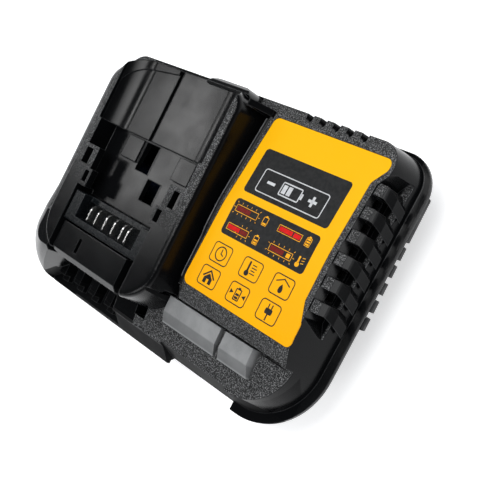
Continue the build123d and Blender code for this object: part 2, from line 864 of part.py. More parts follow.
    # flat floor in front of the step
    with BuildSketch(Plane.XY.offset(floor_z)):
        with Locations((bay_centre_x, (trough_front_y + lip_back_y) / 2)):
            Rectangle(floor_right_x - floor_left_x, trough_front_y - lip_back_y)
        with Locations((bay_centre_x, (lip_back_y + lip_step_y) / 2)):
            Rectangle(floor_right_x - floor_left_x - 2 * lip_width, lip_back_y - lip_step_y)
        with Locations((bay_centre_x, (lip_step_y + floor_front_y) / 2)):
            Rectangle(
                floor_right_x - floor_left_x - 2 * lip_front_width, lip_step_y - floor_front_y
            )
        with Locations((block_centre_x, (floor_front_y + stop_back_y) / 2)):
            Rectangle(2 * arm_inner_half, floor_front_y - stop_back_y)
    extrude(amount=20, mode=Mode.SUBTRACT)
    # channels under the rail lips
    with BuildSketch(Plane.XY.offset(floor_z)):
        with Locations((bay_centre_x, (lip_back_y + floor_front_y) / 2)):
            Rectangle(floor_right_x - floor_left_x, lip_back_y - floor_front_y)
    extrude(amount=rail_top_z - lip_thickness - floor_z, mode=Mode.SUBTRACT)
    # windows through the lips
    with BuildSketch(Plane.XY.offset(rail_top_z - lip_thickness - 1)):
        for side in (-1, 1):
            with Locations((bay_centre_x + side * window_long_offset, window_long_y)):
                Rectangle(window_long_width, window_long)
            with Locations((bay_centre_x + side * window_short_offset, window_short_y)):
                Rectangle(window_short_width, window_short)
    extrude(amount=10, mode=Mode.SUBTRACT)
    # centre groove, deep latch slots and the raised pads beside them
    with BuildSketch(Plane.XZ.offset(-trough_front_y)):
        with Locations((groove_x, trough_floor_z)):
            Rectangle(groove_width, 2 * groove_depth)
    extrude(amount=-half_depth, mode=Mode.SUBTRACT)
    for slot_x, slot_y, slot_length in (latch_slot_back, latch_slot_front):
        with BuildSketch(Plane.XY.offset(floor_z - wall - 2)):
            with Locations((slot_x - latch_ramp_width / 2, slot_y)):
                Rectangle(latch_slot_width - latch_ramp_width, slot_length)
        extrude(amount=20, mode=Mode.SUBTRACT)
        with BuildSketch(Plane.XY.offset(floor_z - latch_ramp_drop)):
            with Locations((slot_x, slot_y)):
                Rectangle(latch_slot_width, slot_length)
        extrude(amount=20, mode=Mode.SUBTRACT)
    for pad_x, pad_width, height in (
        (pad_right_x, pad_right_width, pad_height),
        (pad_left_x, pad_left_width, pad_left_height),
    ):
        with BuildSketch(Plane.XY.offset(floor_z)):
            with Locations((pad_x, pad_y)):
                Rectangle(pad_width, pad_length)
        extrude(amount=height)
    # opening for the contact block
    with BuildSketch(Plane.XY.offset(seam_height)):
        with Locations((block_centre_x, (block_front_y + block_back_y) / 2)):
            Rectangle(
                block_width + 2 * block_clearance,
                block_back_y - block_front_y + 2 * block_clearance,
            )
    extrude(amount=30, mode=Mode.SUBTRACT)

    # groove along the step at the back of the strip
    with BuildSketch(Plane.XY.offset(strip_back_z - strip_groove_depth)):
        with Locations(((strip_groove_left_x + strip_groove_right_x) / 2, strip_back_y)):
            Rectangle(strip_groove_right_x - strip_groove_left_x, strip_groove_width)
    extrude(amount=10, mode=Mode.SUBTRACT)
    # openings for the two lenses
    with BuildSketch(Plane.XY.offset(seam_height)):
        for left, right in (
            (long_lens_left_x, long_lens_right_x),
            (short_lens_left_x, short_lens_right_x),
        ):
            with Locations(((left + right) / 2, (lens_front_y + lens_back_y) / 2)):
                Rectangle(
                    right - left + 2 * lens_clearance,
                    lens_back_y - lens_front_y + 2 * lens_clearance,
                )
    extrude(amount=40, mode=Mode.SUBTRACT)
    # flat facet on the front
    with BuildSketch(Plane.YZ.offset(facet_left_x)):
        with BuildLine():
            Polyline(
                (facet_top_y, strip_front_z),
                (facet_foot_y, seam_height - 1),
                (-half_depth - 5, seam_height - 1),
                (-half_depth - 5, strip_front_z),
                close=True,
            )
        make_face()
    extrude(amount=facet_right_x - facet_left_x, mode=Mode.SUBTRACT)
    # label recess
    with BuildSketch(Plane.XY.offset(seam_height)):
        add(label_plan(label_gap))
    label_cut = extrude(amount=40, mode=Mode.PRIVATE)
    with BuildSketch(Plane.YZ):
        add(roof_profile(label_depth))
    label_floor = extrude(amount=half_width, both=True, mode=Mode.PRIVATE)
    add(label_cut - label_floor, mode=Mode.SUBTRACT)

    # side vents: the flank is cut back to a ledge that rises to the front
    with BuildPart(mode=Mode.PRIVATE) as vent_cut:
        with BuildSketch(Plane.XY.offset(vent_ledge_back_z)):
            with BuildLine():
                Polyline(
                    (panel_edge_x, vent_front_y + 3),
                    (panel_edge_x + 2.6, vent_front_y - 2),
                    (half_width + 5, vent_front_y - 2),
                    (half_width + 5, vent_back_y),
                    (panel_edge_x + 3.4, vent_back_y),
                    (panel_edge_x, vent_back_y - 6),
                    close=True,
                )
            make_face()
        extrude(amount=30)
        with BuildSketch(Plane.YZ):
            with BuildLine():
                Polyline(
                    (vent_front_y - 2, vent_ledge_front_z),
                    (vent_back_y, vent_ledge_back_z),
                    (vent_back_y, rail_top_z + 5),
                    (vent_front_y - 2, rail_top_z + 5),
                    close=True,
                )
            make_face()
        extrude(amount=half_width + reach, mode=Mode.INTERSECT)
    add(vent_cut.part, mode=Mode.SUBTRACT)
    # louvres: a curved side profile, swept towards the front at the outer end
    louvre_foot_x = panel_edge_x + louvre_foot_length
    with BuildPart(mode=Mode.PRIVATE) as louvres:
        with BuildSketch(Plane.XY.offset(vent_ledge_back_z - 0.5)):
            for i in range(louvre_count):
                front_y = louvre_first_y - i * louvre_pitch - louvre_width / 2
                with BuildLine():
                    Polyline(
                        (panel_edge_x - 0.5, front_y),
                        (panel_edge_x + louvre_top_length, front_y),
                        (louvre_foot_x, front_y - louvre_sweep),
                        (louvre_foot_x, front_y + louvre_width - louvre_sweep),
                        (panel_edge_x + louvre_top_length, front_y + louvre_width),
                        (panel_edge_x - 0.5, front_y + louvre_width),
                        close=True,
                    )
                make_face()
        extrude(amount=20)
        with BuildSketch(Plane.XZ.offset(-vent_back_y)):
            with BuildLine():
                Polyline(
                    (louvre_foot_x, vent_ledge_back_z - 0.5),
                    (panel_edge_x - 0.5, vent_ledge_back_z - 0.5),
                    (panel_edge_x - 0.5, rail_top_z),
                    (panel_edge_x + louvre_top_length, rail_top_z),
                    (panel_edge_x + louvre_top_length, louvre_root_z + 4),
                )
                ThreePointArc(
                    (panel_edge_x + louvre_top_length, louvre_root_z + 4),
                    (panel_edge_x + louvre_top_length + 1.0, louvre_root_z - 0.5),
                    (louvre_foot_x, vent_ledge_back_z - 0.5),
                )
            make_face()
        extrude(amount=body_depth, mode=Mode.INTERSECT)
        with BuildSketch(Plane.YZ):
            add(roof_profile(louvre_drop))
        extrude(amount=half_width, mode=Mode.INTERSECT)
    add(louvres.part)
    # windows between the louvres
    with BuildSketch(Plane.YZ.offset(panel_edge_x + 1)):
        for i in range(louvre_count - 1):
            with Locations((louvre_first_y - (i + 0.5) * louvre_pitch, louvre_root_z)):
                Rectangle(vent_window_width, 5)
    extrude(amount=-(wall + 2), mode=Mode.SUBTRACT)
    # vent notches along the back edge
    with BuildSketch(Plane.XY.offset(notch_foot_z)):
        for i in range(notch_count):
            with Locations((notch_first_x + i * notch_pitch, notch_front_y + 6)):
                SlotOverall(14, notch_width, rotation=90)
    extrude(amount=30, mode=Mode.SUBTRACT)

    # cord outlet
    with BuildSketch(Plane.XZ.offset(-half_depth - 1)):
        with Locations((outlet_x, outlet_z)):
            Circle(bush_diameter / 2 + 0.1)
    extrude(amount=half_depth + 1 - bush_seat_y + bush_room, mode=Mode.SUBTRACT)
    # screw bosses
    for spot, top in screw_spots.items():
        with BuildSketch(Plane.XY.offset(boss_split_z)):
            with Locations(spot):
                Circle(screw_boss / 2)
        extrude(amount=top - boss_split_z)
    with BuildSketch(Plane.XY.offset(boss_split_z)):
        with Locations(*screw_spots):
            Circle(screw_pilot / 2)
    extrude(amount=screw_length - 3, mode=Mode.SUBTRACT)
    top_housing.part.label = "top_housing"
export_step(top_housing.part, "parts/top_housing.step")


# ---------------------------------------------------------- bottom housing
def hull_inset_at(height):
    """How far the drawn-in walls of the bottom housing stand in from the flange."""
    share = (seam_height - height) / (seam_height - foot_height)
    return hull_inset + share * (foot_inset - hull_inset)


def hull_plan(height):
    """Outside outline of the bottom housing at a height."""
    inset = hull_inset_at(height)
    return rounded_plan(
        -half_width + inset,
        half_width - inset,
        -half_depth + inset,
        half_depth - inset,
        corner_back - inset / 2,
        corner_front_left - inset / 2,
        corner_front_right - inset,
        side_taper,
    )


def hull_hollow_plan(height):
    """Inside outline of the bottom housing at a height."""
    inset = hull_inset_at(height) + wall
    return chamfered_plan(
        -half_width + inset,
        half_width - inset,
        -half_depth + inset,
        half_depth - inset,
        corner_back,
        corner_front_left,
        corner_front_right,
        side_taper,
    )


board_screw_spots = [
    (x, y)
    for x in (-board_screw_x, board_screw_x)
    for y in (board_screw_front_y, board_screw_back_y)
]

with BuildPart() as bottom_housing:
    with BuildSketch(Plane.XY.offset(foot_height)):
        add(hull_plan(foot_height))
    with BuildSketch(Plane.XY.offset(seam_height)):
        add(hull_plan(seam_height))
    loft(ruled=True)
    # upright ribs on both sides, rounded off at the foot
    rib_out_x = half_width - side_rib_inset
    rib_plane = Plane.XZ.offset(-side_rib_first_y - side_rib_width / 2)
    with BuildSketch(rib_plane, mode=Mode.PRIVATE) as side_rib:
        for side in (-1, 1):
            with BuildLine():
                Polyline(
                    (side * (rib_out_x - side_rib_depth), seam_height),
                    (side * rib_out_x, seam_height),
                    (side * rib_out_x, seam_height - side_rib_lip),
                )
                ThreePointArc(
                    (side * rib_out_x, seam_height - side_rib_lip),
                    (side * (rib_out_x - side_rib_hollow), (seam_height + side_rib_foot_z) / 2),
                    (side * side_rib_foot_x, side_rib_foot_z),
                )
                Polyline(
                    (side * side_rib_foot_x, side_rib_foot_z),
                    (side * (side_rib_foot_x - 5), side_rib_foot_z + 1),
                    (side * (rib_out_x - side_rib_depth), seam_height),
                )
            make_face()
    for i in range(side_rib_count):
        with Locations((0, -i * side_rib_pitch, 0)):
            add(extrude(side_rib.sketch, amount=side_rib_width, mode=Mode.PRIVATE))
    add(
        extrude(
            side_rib.sketch,
            amount=side_rib_first_y + side_rib_width / 2 - corner_rib_back_y,
            mode=Mode.PRIVATE,
        )
    )
    # inside of the tray
    with BuildSketch(Plane.XY.offset(floor_top_z)):
        add(hull_hollow_plan(floor_top_z))
    with BuildSketch(Plane.XY.offset(seam_height)):
        add(hull_hollow_plan(seam_height))
    loft(ruled=True, mode=Mode.SUBTRACT)
    # feet, board posts and screw bosses
    with BuildSketch():
        with GridLocations(2 * foot_x, 2 * foot_y, 2, 2):
            Circle(foot_diameter / 2)
    extrude(amount=foot_height)
    with BuildSketch(Plane.XY.offset(floor_top_z)):
        with Locations(*board_screw_spots):
            Circle(board_post_diameter / 2)
    extrude(amount=board_post_height)
    with BuildSketch(Plane.XY.offset(floor_top_z)):
        with Locations(*screw_spots):
            Circle(screw_boss / 2)
    extrude(amount=boss_split_z - floor_top_z)
    with Locations(*[(x, y, board_bottom_z) for x, y in board_screw_spots]):
        Hole(board_screw_shank / 2, depth=board_screw_depth)
    with Locations(*[(x, y, boss_split_z) for x, y in screw_spots]):
        Hole(screw_clear / 2)
    with BuildSketch(Plane.XY):
        with Locations(*screw_spots):
            Circle(screw_well / 2)
    extrude(amount=screw_seat_z, mode=Mode.SUBTRACT)
    # keyholes for hanging the charger on two screws
    with BuildSketch(Plane.XY):
        for x in (-keyhole_spacing / 2, keyhole_spacing / 2):
            with Locations((x, keyhole_y)):
                Circle(keyhole_entry / 2)
            with Locations((x, keyhole_y + keyhole_travel / 2)):
                Rectangle(keyhole_slot, keyhole_travel)
            with Locations((x, keyhole_y + keyhole_travel)):
                Circle(keyhole_slot / 2)
    extrude(amount=floor_top_z, mode=Mode.SUBTRACT)
    # air slots in the floor
    with BuildSketch(Plane.XY):
        for x in (-base_slot_x, base_slot_x):
            with Locations((x, base_slot_y)):
                with GridLocations(base_slot_pitch, 1, base_slot_count, 1):
                    Rectangle(base_slot_width, base_slot_length)
    extrude(amount=floor_top_z, mode=Mode.SUBTRACT)
    # room behind the front facet
    with BuildSketch(Plane.YZ.offset(facet_left_x)):
        with BuildLine():
            Polyline(
                (facet_foot_y + 0.6, seam_height),
                (facet_foot_y + 3.6, foot_height - 1),
                (-half_depth - 5, foot_height - 1),
                (-half_depth - 5, seam_height),
                close=True,
            )
        make_face()
    extrude(amount=facet_right_x - facet_left_x, mode=Mode.SUBTRACT)
    bottom_housing.part.label = "bottom_housing"
export_step(bottom_housing.part, "parts/bottom_housing.step")

# ------------------------------------------------------------ contact block
block_centre_y = (block_front_y + block_back_y) / 2
block_foot_z = floor_z - wall - block_flange_thickness


def blade_profile(grow):
    """Side profile of one contact blade with its solder tail (local x is Y)."""
    back_y = blade_front_y + blade_length
    with BuildSketch(mode=Mode.PRIVATE) as sketch:
        with BuildLine():
            Polyline(
                (blade_front_y, blade_foot_z),
                (blade_front_y, blade_top_z),
                (back_y, blade_top_z),
                (back_y, blade_foot_z),
                (blade_front_y + blade_tail_offset + blade_tail_length, blade_foot_z),
                (blade_front_y + blade_tail_offset + blade_tail_length, board_top_z),
                (blade_front_y + blade_tail_offset, board_top_z),
                (blade_front_y + blade_tail_offset, blade_foot_z),
                close=True,
            )
        make_face()
        fillet(sketch.vertices().sort_by_distance((back_y, blade_top_z))[0], 2.6)
        fillet(sketch.vertices().sort_by_distance((blade_front_y, blade_top_z))[0], 0.8)
        if grow:
            offset(amount=grow)
    return sketch.sketch


with BuildPart() as terminal_block:
    with BuildSketch(Plane.XY.offset(block_foot_z)):
        with Locations((block_centre_x, block_centre_y)):
            Rectangle(block_width, block_back_y - block_front_y)
    extrude(amount=block_top_z - block_foot_z)
    fillet(terminal_block.faces().sort_by(Axis.Z)[-1].edges(), 0.6)
    # flange under the floor of the bay
    with BuildSketch(Plane.XY.offset(block_foot_z)):
        with Locations((block_centre_x, (block_flange_front_y + block_back_y + block_flange) / 2)):
            Rectangle(
                block_width + 2 * block_flange,
                block_back_y + block_flange - block_flange_front_y,
            )
    extrude(amount=block_flange_thickness)
    # pocket round the blades, lower at the back where the pack comes in
    with BuildSketch(Plane.XY.offset(pocket_floor_z)):
        with Locations((pocket_centre_x, (pocket_front_y + pocket_back_y) / 2)):
            Rectangle(pocket_width, pocket_back_y - pocket_front_y)
    extrude(amount=20, mode=Mode.SUBTRACT)
    with BuildSketch(Plane.XY.offset(pocket_back_top_z)):
        with Locations((pocket_centre_x, pocket_back_y + 5)):
            Rectangle(pocket_width, 10)
    extrude(amount=20, mode=Mode.SUBTRACT)
    # slots for the blades
    for spot in blade_spots:
        with BuildSketch(Plane.YZ.offset(block_centre_x + spot)):
            add(blade_profile(blade_clearance))
        extrude(amount=blade_thickness / 2 + blade_clearance, both=True, mode=Mode.SUBTRACT)
    terminal_block.part.label = "terminal_block"
export_step(terminal_block.part, "parts/terminal_block.step")

for number, spot in enumerate(blade_spots, start=1):
    with BuildPart() as blade:
        with BuildSketch(Plane.YZ.offset(block_centre_x + spot)):
            add(blade_profile(0))
        extrude(amount=blade_thickness / 2, both=True)
        blade.part.label = f"contact_blade_{number}"
    export_step(blade.part, f"parts/contact_blade_{number}.step")

# --------------------------------------------------------------- the lenses
led_top_z = board_top_z + led_height


def lens(left, right, leg_spots, bevel):
    """Light pipe: a bar with a ridge, and legs down to its lamps."""
    with BuildPart(mode=Mode.PRIVATE) as bar:
        with BuildSketch(Plane.YZ.offset(left)):
            with BuildLine():
                Polyline(
                    (lens_front_y, lens_foot_z),
                    (lens_front_y, lens_front_top_z),
                    (lens_ridge_y, lens_ridge_z),
                    (lens_back_y, lens_back_top_z),
                    (lens_back_y, lens_foot_z),
                    close=True,
                )
            make_face()
        extrude(amount=right - left)
        ridge = bar.edges().filter_by(Axis.X).sort_by_distance((0, lens_ridge_y, lens_ridge_z))[0]
        fillet(ridge, 0.8)
        if bevel:
            with BuildSketch(Plane.XZ.offset(-lens_back_y - 1)):
                with BuildLine():
                    Polyline(
                        (right - bevel, lens_back_top_z),
                        (right + 1, lens_back_top_z),
                        (right + 1, lens_front_top_z - bevel),
                        (right, lens_front_top_z - bevel),
                        close=True,
                    )
                make_face()
            extrude(amount=lens_back_y - lens_front_y + 2, mode=Mode.SUBTRACT)
        with BuildSketch(Plane.XY.offset(led_top_z + led_gap)):
            for spot in leg_spots:
                with Locations((spot, lens_leg_y)):
                    Rectangle(lens_leg_width, lens_leg_depth)
        extrude(amount=lens_foot_z - led_top_z - led_gap + 1)
    return bar.part


charge_lens = lens(long_lens_left_x, long_lens_right_x, charge_led_spots, 0)
charge_lens.label = "charge_lens"
export_step(charge_lens, "parts/charge_lens.step")
status_lens = lens(short_lens_left_x, short_lens_right_x, status_led_spots, lens_bevel)
status_lens.label = "status_lens"
export_step(status_lens, "parts/status_lens.step")

with BuildPart() as indicator_leds:
    with BuildSketch(Plane.XY.offset(board_top_z)):
        for spot in charge_led_spots + status_led_spots:
            with Locations((spot, lens_leg_y)):
                Rectangle(led_size, led_size)
    extrude(amount=led_height)
    indicator_leds.part.label = "indicator_leds"
export_step(indicator_leds.part, "parts/indicator_leds.step")

# ---------------------------------------------------------------- the label
with BuildPart() as label_plate:
    with BuildSketch(Plane.XY.offset(seam_height)):
        add(label_plan(0))
    extrude(amount=40)
    with BuildSketch(Plane.YZ):
        add(roof_profile(label_depth - label_thickness))
        add(roof_profile(label_depth), mode=Mode.SUBTRACT)
    extrude(amount=half_width, both=True, mode=Mode.INTERSECT)
    label_plate.part.label = "label_plate"
export_step(label_plate.part, "parts/label_plate.step")

# ----------------------------------------------------------- cord outlet
with BuildPart() as cord_bush:
    with BuildSketch(Plane.XZ.offset(-bush_seat_y)):
        with Locations((outlet_x, outlet_z)):
            Circle(bush_diameter / 2)
            Circle(outlet_bore / 2, mode=Mode.SUBTRACT)
    extrude(amount=-bush_length)
    with BuildSketch(Plane.XZ.offset(-bush_seat_y)):
        with Locations((outlet_x, outlet_z)):
            Circle(bush_diameter / 2 + bush_flange)
            Circle(outlet_bore / 2, mode=Mode.SUBTRACT)
    extrude(amount=bush_flange_thickness)
    cord_bush.part.label = "cord_bush"
export_step(cord_bush.part, "parts/cord_bush.step")

# ------------------------------------------------------------------- screws


def screw(spot, seat_z, shank, head, head_height, length):
    """Round-headed screw, driven up from below."""
    with BuildPart(mode=Mode.PRIVATE) as bolt:
        with BuildSketch(Plane.XY.offset(seat_z - head_height)):
            with Locations(spot):
                Circle(head / 2)
        extrude(amount=head_height)
        chamfer(bolt.edges().sort_by(Axis.Z)[0], head_height / 3)
        with BuildSketch(Plane.XY.offset(seat_z - head_height)):
            with Locations(spot):
                RegularPolygon(head / 4.4, 6)
        extrude(amount=head_height * 0.6, mode=Mode.SUBTRACT)
        with BuildSketch(Plane.XY.offset(seat_z)):
            with Locations(spot):
                Circle(shank / 2)
        extrude(amount=length)
    return bolt.part


with BuildPart() as housing_screws:
    for spot in screw_spots:
        add(
            screw(
                spot, screw_seat_z, screw_pilot - 0.1, screw_head, screw_head_height, screw_length
            )
        )
    housing_screws.part.label = "housing_screws"
export_step(housing_screws.part, "parts/housing_screws.step")

with BuildPart() as board_screws:
    for x, y in board_screw_spots:
        with BuildSketch(Plane.XY.offset(board_top_z)):
            with Locations((x, y)):
                Circle(board_screw_head / 2)
        extrude(amount=board_screw_head_height)
        with BuildSketch(Plane.XY.offset(board_top_z)):
            with Locations((x, y)):
                Circle(board_screw_shank / 2 - board_screw_gap)
        extrude(amount=-(board_screw_depth + board_thickness - 0.5))
    chamfer(board_screws.faces().filter_by(Axis.Z).group_by(Axis.Z)[-1].edges(), 0.7)
    board_screws.part.label = "board_screws"
export_step(board_screws.part, "parts/board_screws.step")

# ------------------------------------------------------------ circuit board
with BuildPart() as main_board:
    with BuildSketch(Plane.XY.offset(board_bottom_z)):
        with Locations((0, (board_front_y + board_back_y) / 2)):
            RectangleRounded(board_width, board_back_y - board_front_y, 2)
        with Locations(*board_screw_spots):
            Circle(board_screw_shank / 2 + 0.2, mode=Mode.SUBTRACT)
    extrude(amount=board_thickness)
    main_board.part.label = "main_board"
export_step(main_board.part, "parts/main_board.step")

# -------------------------------------------------------------- transformer
core_foot_z = board_top_z + bobbin_base
core_window_foot_z = core_foot_z + core_leg
core_window_top_z = core_foot_z + core_height - core_leg
with BuildPart() as transformer_core:
    with BuildSketch(Plane.XZ.offset(-core_y)):
        with Locations((core_x, core_foot_z + core_height / 2)):
            Rectangle(core_width, core_height)
            Rectangle(core_width - 2 * core_leg, core_height - 2 * core_leg, mode=Mode.SUBTRACT)
            Rectangle(core_centre_leg, core_height)
    extrude(amount=core_thickness / 2, both=True)
    transformer_core.part.label = "transformer_core"
export_step(transformer_core.part, "parts/transformer_core.step")

tube_width = core_centre_leg + 2 * bobbin_gap
tube_depth = core_thickness + 2 * bobbin_gap
window_width = core_width - 2 * core_leg - 2 * bobbin_gap
with BuildPart() as transformer_bobbin:
    with BuildSketch(Plane.XY.offset(board_top_z)):
        with Locations((core_x, core_y)):
            RectangleRounded(core_width - 4, bobbin_depth, 1.5)
    extrude(amount=bobbin_base)
    # flanges and tube round the centre leg
    with BuildSketch(Plane.XY.offset(core_window_foot_z + bobbin_gap)):
        with Locations((core_x, core_y)):
            Rectangle(window_width, bobbin_depth)
    extrude(amount=bobbin_wall)
    with BuildSketch(Plane.XY.offset(core_window_top_z - bobbin_gap - bobbin_wall)):
        with Locations((core_x, core_y)):
            Rectangle(window_width, bobbin_depth)
    extrude(amount=bobbin_wall)
    with BuildSketch(Plane.XY.offset(core_window_foot_z + bobbin_gap)):
        with Locations((core_x, core_y)):
            Rectangle(tube_width + 2 * bobbin_wall, tube_depth + 2 * bobbin_wall)
    extrude(amount=core_window_top_z - core_window_foot_z - 2 * bobbin_gap)
    with BuildSketch(Plane.XY.offset(core_window_foot_z)):
        with Locations((core_x, core_y)):
            Rectangle(tube_width, tube_depth)
    extrude(amount=core_window_top_z - core_window_foot_z, mode=Mode.SUBTRACT)
    # side walls that join the base to the lower flange, outside the core
    with BuildSketch(Plane.XY.offset(board_top_z)):
        for side in (-1, 1):
            with Locations((core_x, core_y + side * (bobbin_depth / 2 - bobbin_wall))):
                Rectangle(window_width, 2 * bobbin_wall)
    extrude(amount=core_window_foot_z + bobbin_gap - board_top_z)
    transformer_bobbin.part.label = "transformer_bobbin"
export_step(transformer_bobbin.part, "parts/transformer_bobbin.step")

with BuildPart() as transformer_winding:
    with BuildSketch(Plane.XY.offset(core_window_foot_z + bobbin_gap + bobbin_wall)):
        with Locations((core_x, core_y)):
            RectangleRounded(window_width - 0.6, winding_depth, 3)
            Rectangle(
                tube_width + 2 * bobbin_wall, tube_depth + 2 * bobbin_wall, mode=Mode.SUBTRACT
            )
    extrude(amount=core_window_top_z - core_window_foot_z - 2 * bobbin_gap - 2 * bobbin_wall)
    transformer_winding.part.label = "transformer_winding"
export_step(transformer_winding.part, "parts/transformer_winding.step")


# --------------------------------------------------------------- capacitors
def can(spot, diameter, height):
    """Electrolytic can standing on the board, with its rolled groove."""
    with BuildPart(mode=Mode.PRIVATE) as body:
        with BuildSketch(Plane.XY.offset(board_top_z)):
            with Locations(spot):
                Circle(diameter / 2)
        extrude(amount=height)
        chamfer(body.edges().sort_by(Axis.Z)[-1], 0.6)
        with BuildSketch(Plane.XY.offset(board_top_z + 1.6)):
            with Locations(spot):
                Circle(diameter / 2 + 1)
                Circle(diameter / 2 - 0.5, mode=Mode.SUBTRACT)
        extrude(amount=0.8, mode=Mode.SUBTRACT)
        with BuildSketch(Plane.XY.offset(board_top_z + height - 0.3)):
            with Locations(spot):
                Rectangle(diameter * 0.6, 0.5)
                Rectangle(0.5, diameter * 0.6)
        extrude(amount=1, mode=Mode.SUBTRACT)
    return body.part


bulk_capacitor = can((bulk_x, bulk_y), bulk_diameter, bulk_height)
bulk_capacitor.label = "bulk_capacitor"
export_step(bulk_capacitor, "parts/bulk_capacitor.step")

with BuildPart() as output_capacitors:
    for spot in output_cap_spots:
        add(can(spot, output_cap_diameter, output_cap_height))
    output_capacitors.part.label = "output_capacitors"
export_step(output_capacitors.part, "parts/output_capacitors.step")


def boxed(x, y, width, depth, height, radius):
    """Moulded component body standing on the board."""
    with BuildPart(mode=Mode.PRIVATE) as body:
        with BuildSketch(Plane.XY.offset(board_top_z)):
            with Locations((x, y)):
                Rectangle(width, depth)
        extrude(amount=height)
        chamfer(body.edges().filter_by(Axis.Z), radius)
        chamfer(body.faces().sort_by(Axis.Z)[-1].edges(), radius * 0.7)
    return body.part


filter_capacitor = boxed(
    filter_cap_x, filter_cap_y, filter_cap_width, filter_cap_depth, filter_cap_height, 0.8
)
filter_capacitor.label = "filter_capacitor"
export_step(filter_capacitor, "parts/filter_capacitor.step")

fuse = boxed(fuse_x, fuse_y, fuse_length, fuse_width, fuse_height, 0.6)
fuse.label = "fuse"
export_step(fuse, "parts/fuse.step")

bridge_rectifier = boxed(bridge_x, bridge_y, bridge_width, bridge_depth, bridge_height, 0.5)
bridge_rectifier.label = "bridge_rectifier"
export_step(bridge_rectifier, "parts/bridge_rectifier.step")

optocoupler = boxed(opto_x, opto_y, 6.4, 4.6, 3.6, 0.3)
optocoupler.label = "optocoupler"
export_step(optocoupler, "parts/optocoupler.step")

controller_chip = boxed(chip_x, chip_y, chip_size, chip_size, chip_height, 0.4)
controller_chip.label = "controller_chip"
export_step(controller_chip, "parts/controller_chip.step")

# surge absorber: a disc on edge with a flat foot on the board
with BuildPart() as surge_absorber:
    with BuildSketch(Plane.XZ.offset(-varistor_y)):
        with Locations((varistor_x, board_top_z + varistor_diameter / 2 + 0.6)):
            Circle(varistor_diameter / 2)
        with Locations((varistor_x, board_top_z + 1.4)):
            Rectangle(6, 2.8)
    extrude(amount=varistor_thickness / 2, both=True)
    surge_absorber.part.label = "surge_absorber"
export_step(surge_absorber.part, "parts/surge_absorber.step")

# ----------------------------------------------------- choke on the input
choke_foot_z = board_top_z + choke_wire
with BuildPart() as choke_core:
    with BuildSketch(Plane.XY.offset(choke_foot_z)):
        with Locations((choke_x, choke_y)):
            Circle(choke_outer / 2)
            Circle(choke_inner / 2, mode=Mode.SUBTRACT)
    extrude(amount=choke_height)
    chamfer(choke_core.edges().filter_by(GeomType.CIRCLE), 0.6)
    choke_core.part.label = "choke_core"
export_step(choke_core.part, "parts/choke_core.step")

# each turn is a square loop of wire round the ring's section
turn_width = (choke_outer - choke_inner) / 2
turn_centre = (choke_outer + choke_inner) / 4
with BuildPart() as choke_winding:
    turn_plane = Plane.XZ.offset(-choke_y)
    with BuildSketch(turn_plane, mode=Mode.PRIVATE) as turn:
        with Locations((choke_x + turn_centre, choke_foot_z + choke_height / 2)):
            Rectangle(turn_width + 2 * choke_wire, choke_height + 2 * choke_wire)
            chamfer(turn.vertices(), 0.8)
            Rectangle(turn_width + 0.16, choke_height + 0.04, mode=Mode.SUBTRACT)
    loop = extrude(turn.sketch, amount=choke_wire / 2, both=True, mode=Mode.PRIVATE)
    axis = Axis((choke_x, choke_y, 0), (0, 0, 1))
    for start in (0, 180):
        for i in range(choke_turns):
            add(loop.rotate(axis, start + (i - (choke_turns - 1) / 2) * choke_turn_angle))
    choke_winding.part.label = "choke_winding"
export_step(choke_winding.part, "parts/choke_winding.step")


# ------------------------------------------- heat sinks and power packages
def heat_sink(x, y, side):
    """Upright plate with fins on one side (side is -1 or 1 along X)."""
    with BuildPart(mode=Mode.PRIVATE) as sink:
        with BuildSketch(Plane.XY.offset(board_top_z)):
            with Locations((x, y)):
                Rectangle(sink_plate, sink_length)
            with Locations((x + side * (sink_plate + sink_fin_depth) / 2, y)):
                with GridLocations(
                    1, (sink_length - sink_fin_thickness) / (sink_fin_count - 1), 1, sink_fin_count
                ):
                    Rectangle(sink_fin_depth, sink_fin_thickness)
        extrude(amount=sink_height)
    return sink.part


def power_package(x, y):
    """Transistor-style package with its metal tab and three legs."""
    with BuildPart(mode=Mode.PRIVATE) as package:
        with BuildSketch(Plane.XY.offset(board_top_z + 3.5)):
            with Locations((x, y)):
                Rectangle(package_depth, package_width)
        extrude(amount=package_height - 5)
        with BuildSketch(Plane.XY.offset(board_top_z + package_height - 1.5)):
            with Locations((x, y)):
                Rectangle(1.3, package_width)
        extrude(amount=4)
        with BuildSketch(Plane.XY.offset(board_top_z)):
            with Locations((x, y)):
                with GridLocations(1, 2.54, 1, 3):
                    Rectangle(0.6, 1.0)
        extrude(amount=3.5)
    return package.part


package_offset = (sink_plate + package_depth) / 2
for name, x, y, side in (
    ("primary", primary_sink_x, primary_sink_y, 1),
    ("secondary", secondary_sink_x, secondary_sink_y, 1),
):
    sink = heat_sink(x, y, side)
    sink.label = f"{name}_heat_sink"
    export_step(sink, f"parts/{name}_heat_sink.step")
    package = power_package(x - side * package_offset, y)
    package.label = f"{name}_power_package"
    export_step(package, f"parts/{name}_power_package.step")
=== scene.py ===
# %% [markdown]
# # A slide-on battery charger for power tools
#
# The charger is two black plastic mouldings with a bay for the battery pack on
# the left, a yellow label on a raised panel, two light pipes in front of it and
# air vents down the right side.  The solids come from the CAD model and stay as
# they are.  This file gives them their finishes and adds what the solids leave
# out: the prints on the label, the beads along the panel and the plate beside
# the light pipes.  Lengths are in millimetres, and mm turns them into metres.

# %% Load the frame
import json
from math import cos, pi, radians, sin

import bmesh
import bpy
from mathutils import Matrix, Vector
from mathutils.bvhtree import BVHTree
from mathutils.geometry import tessellate_polygon


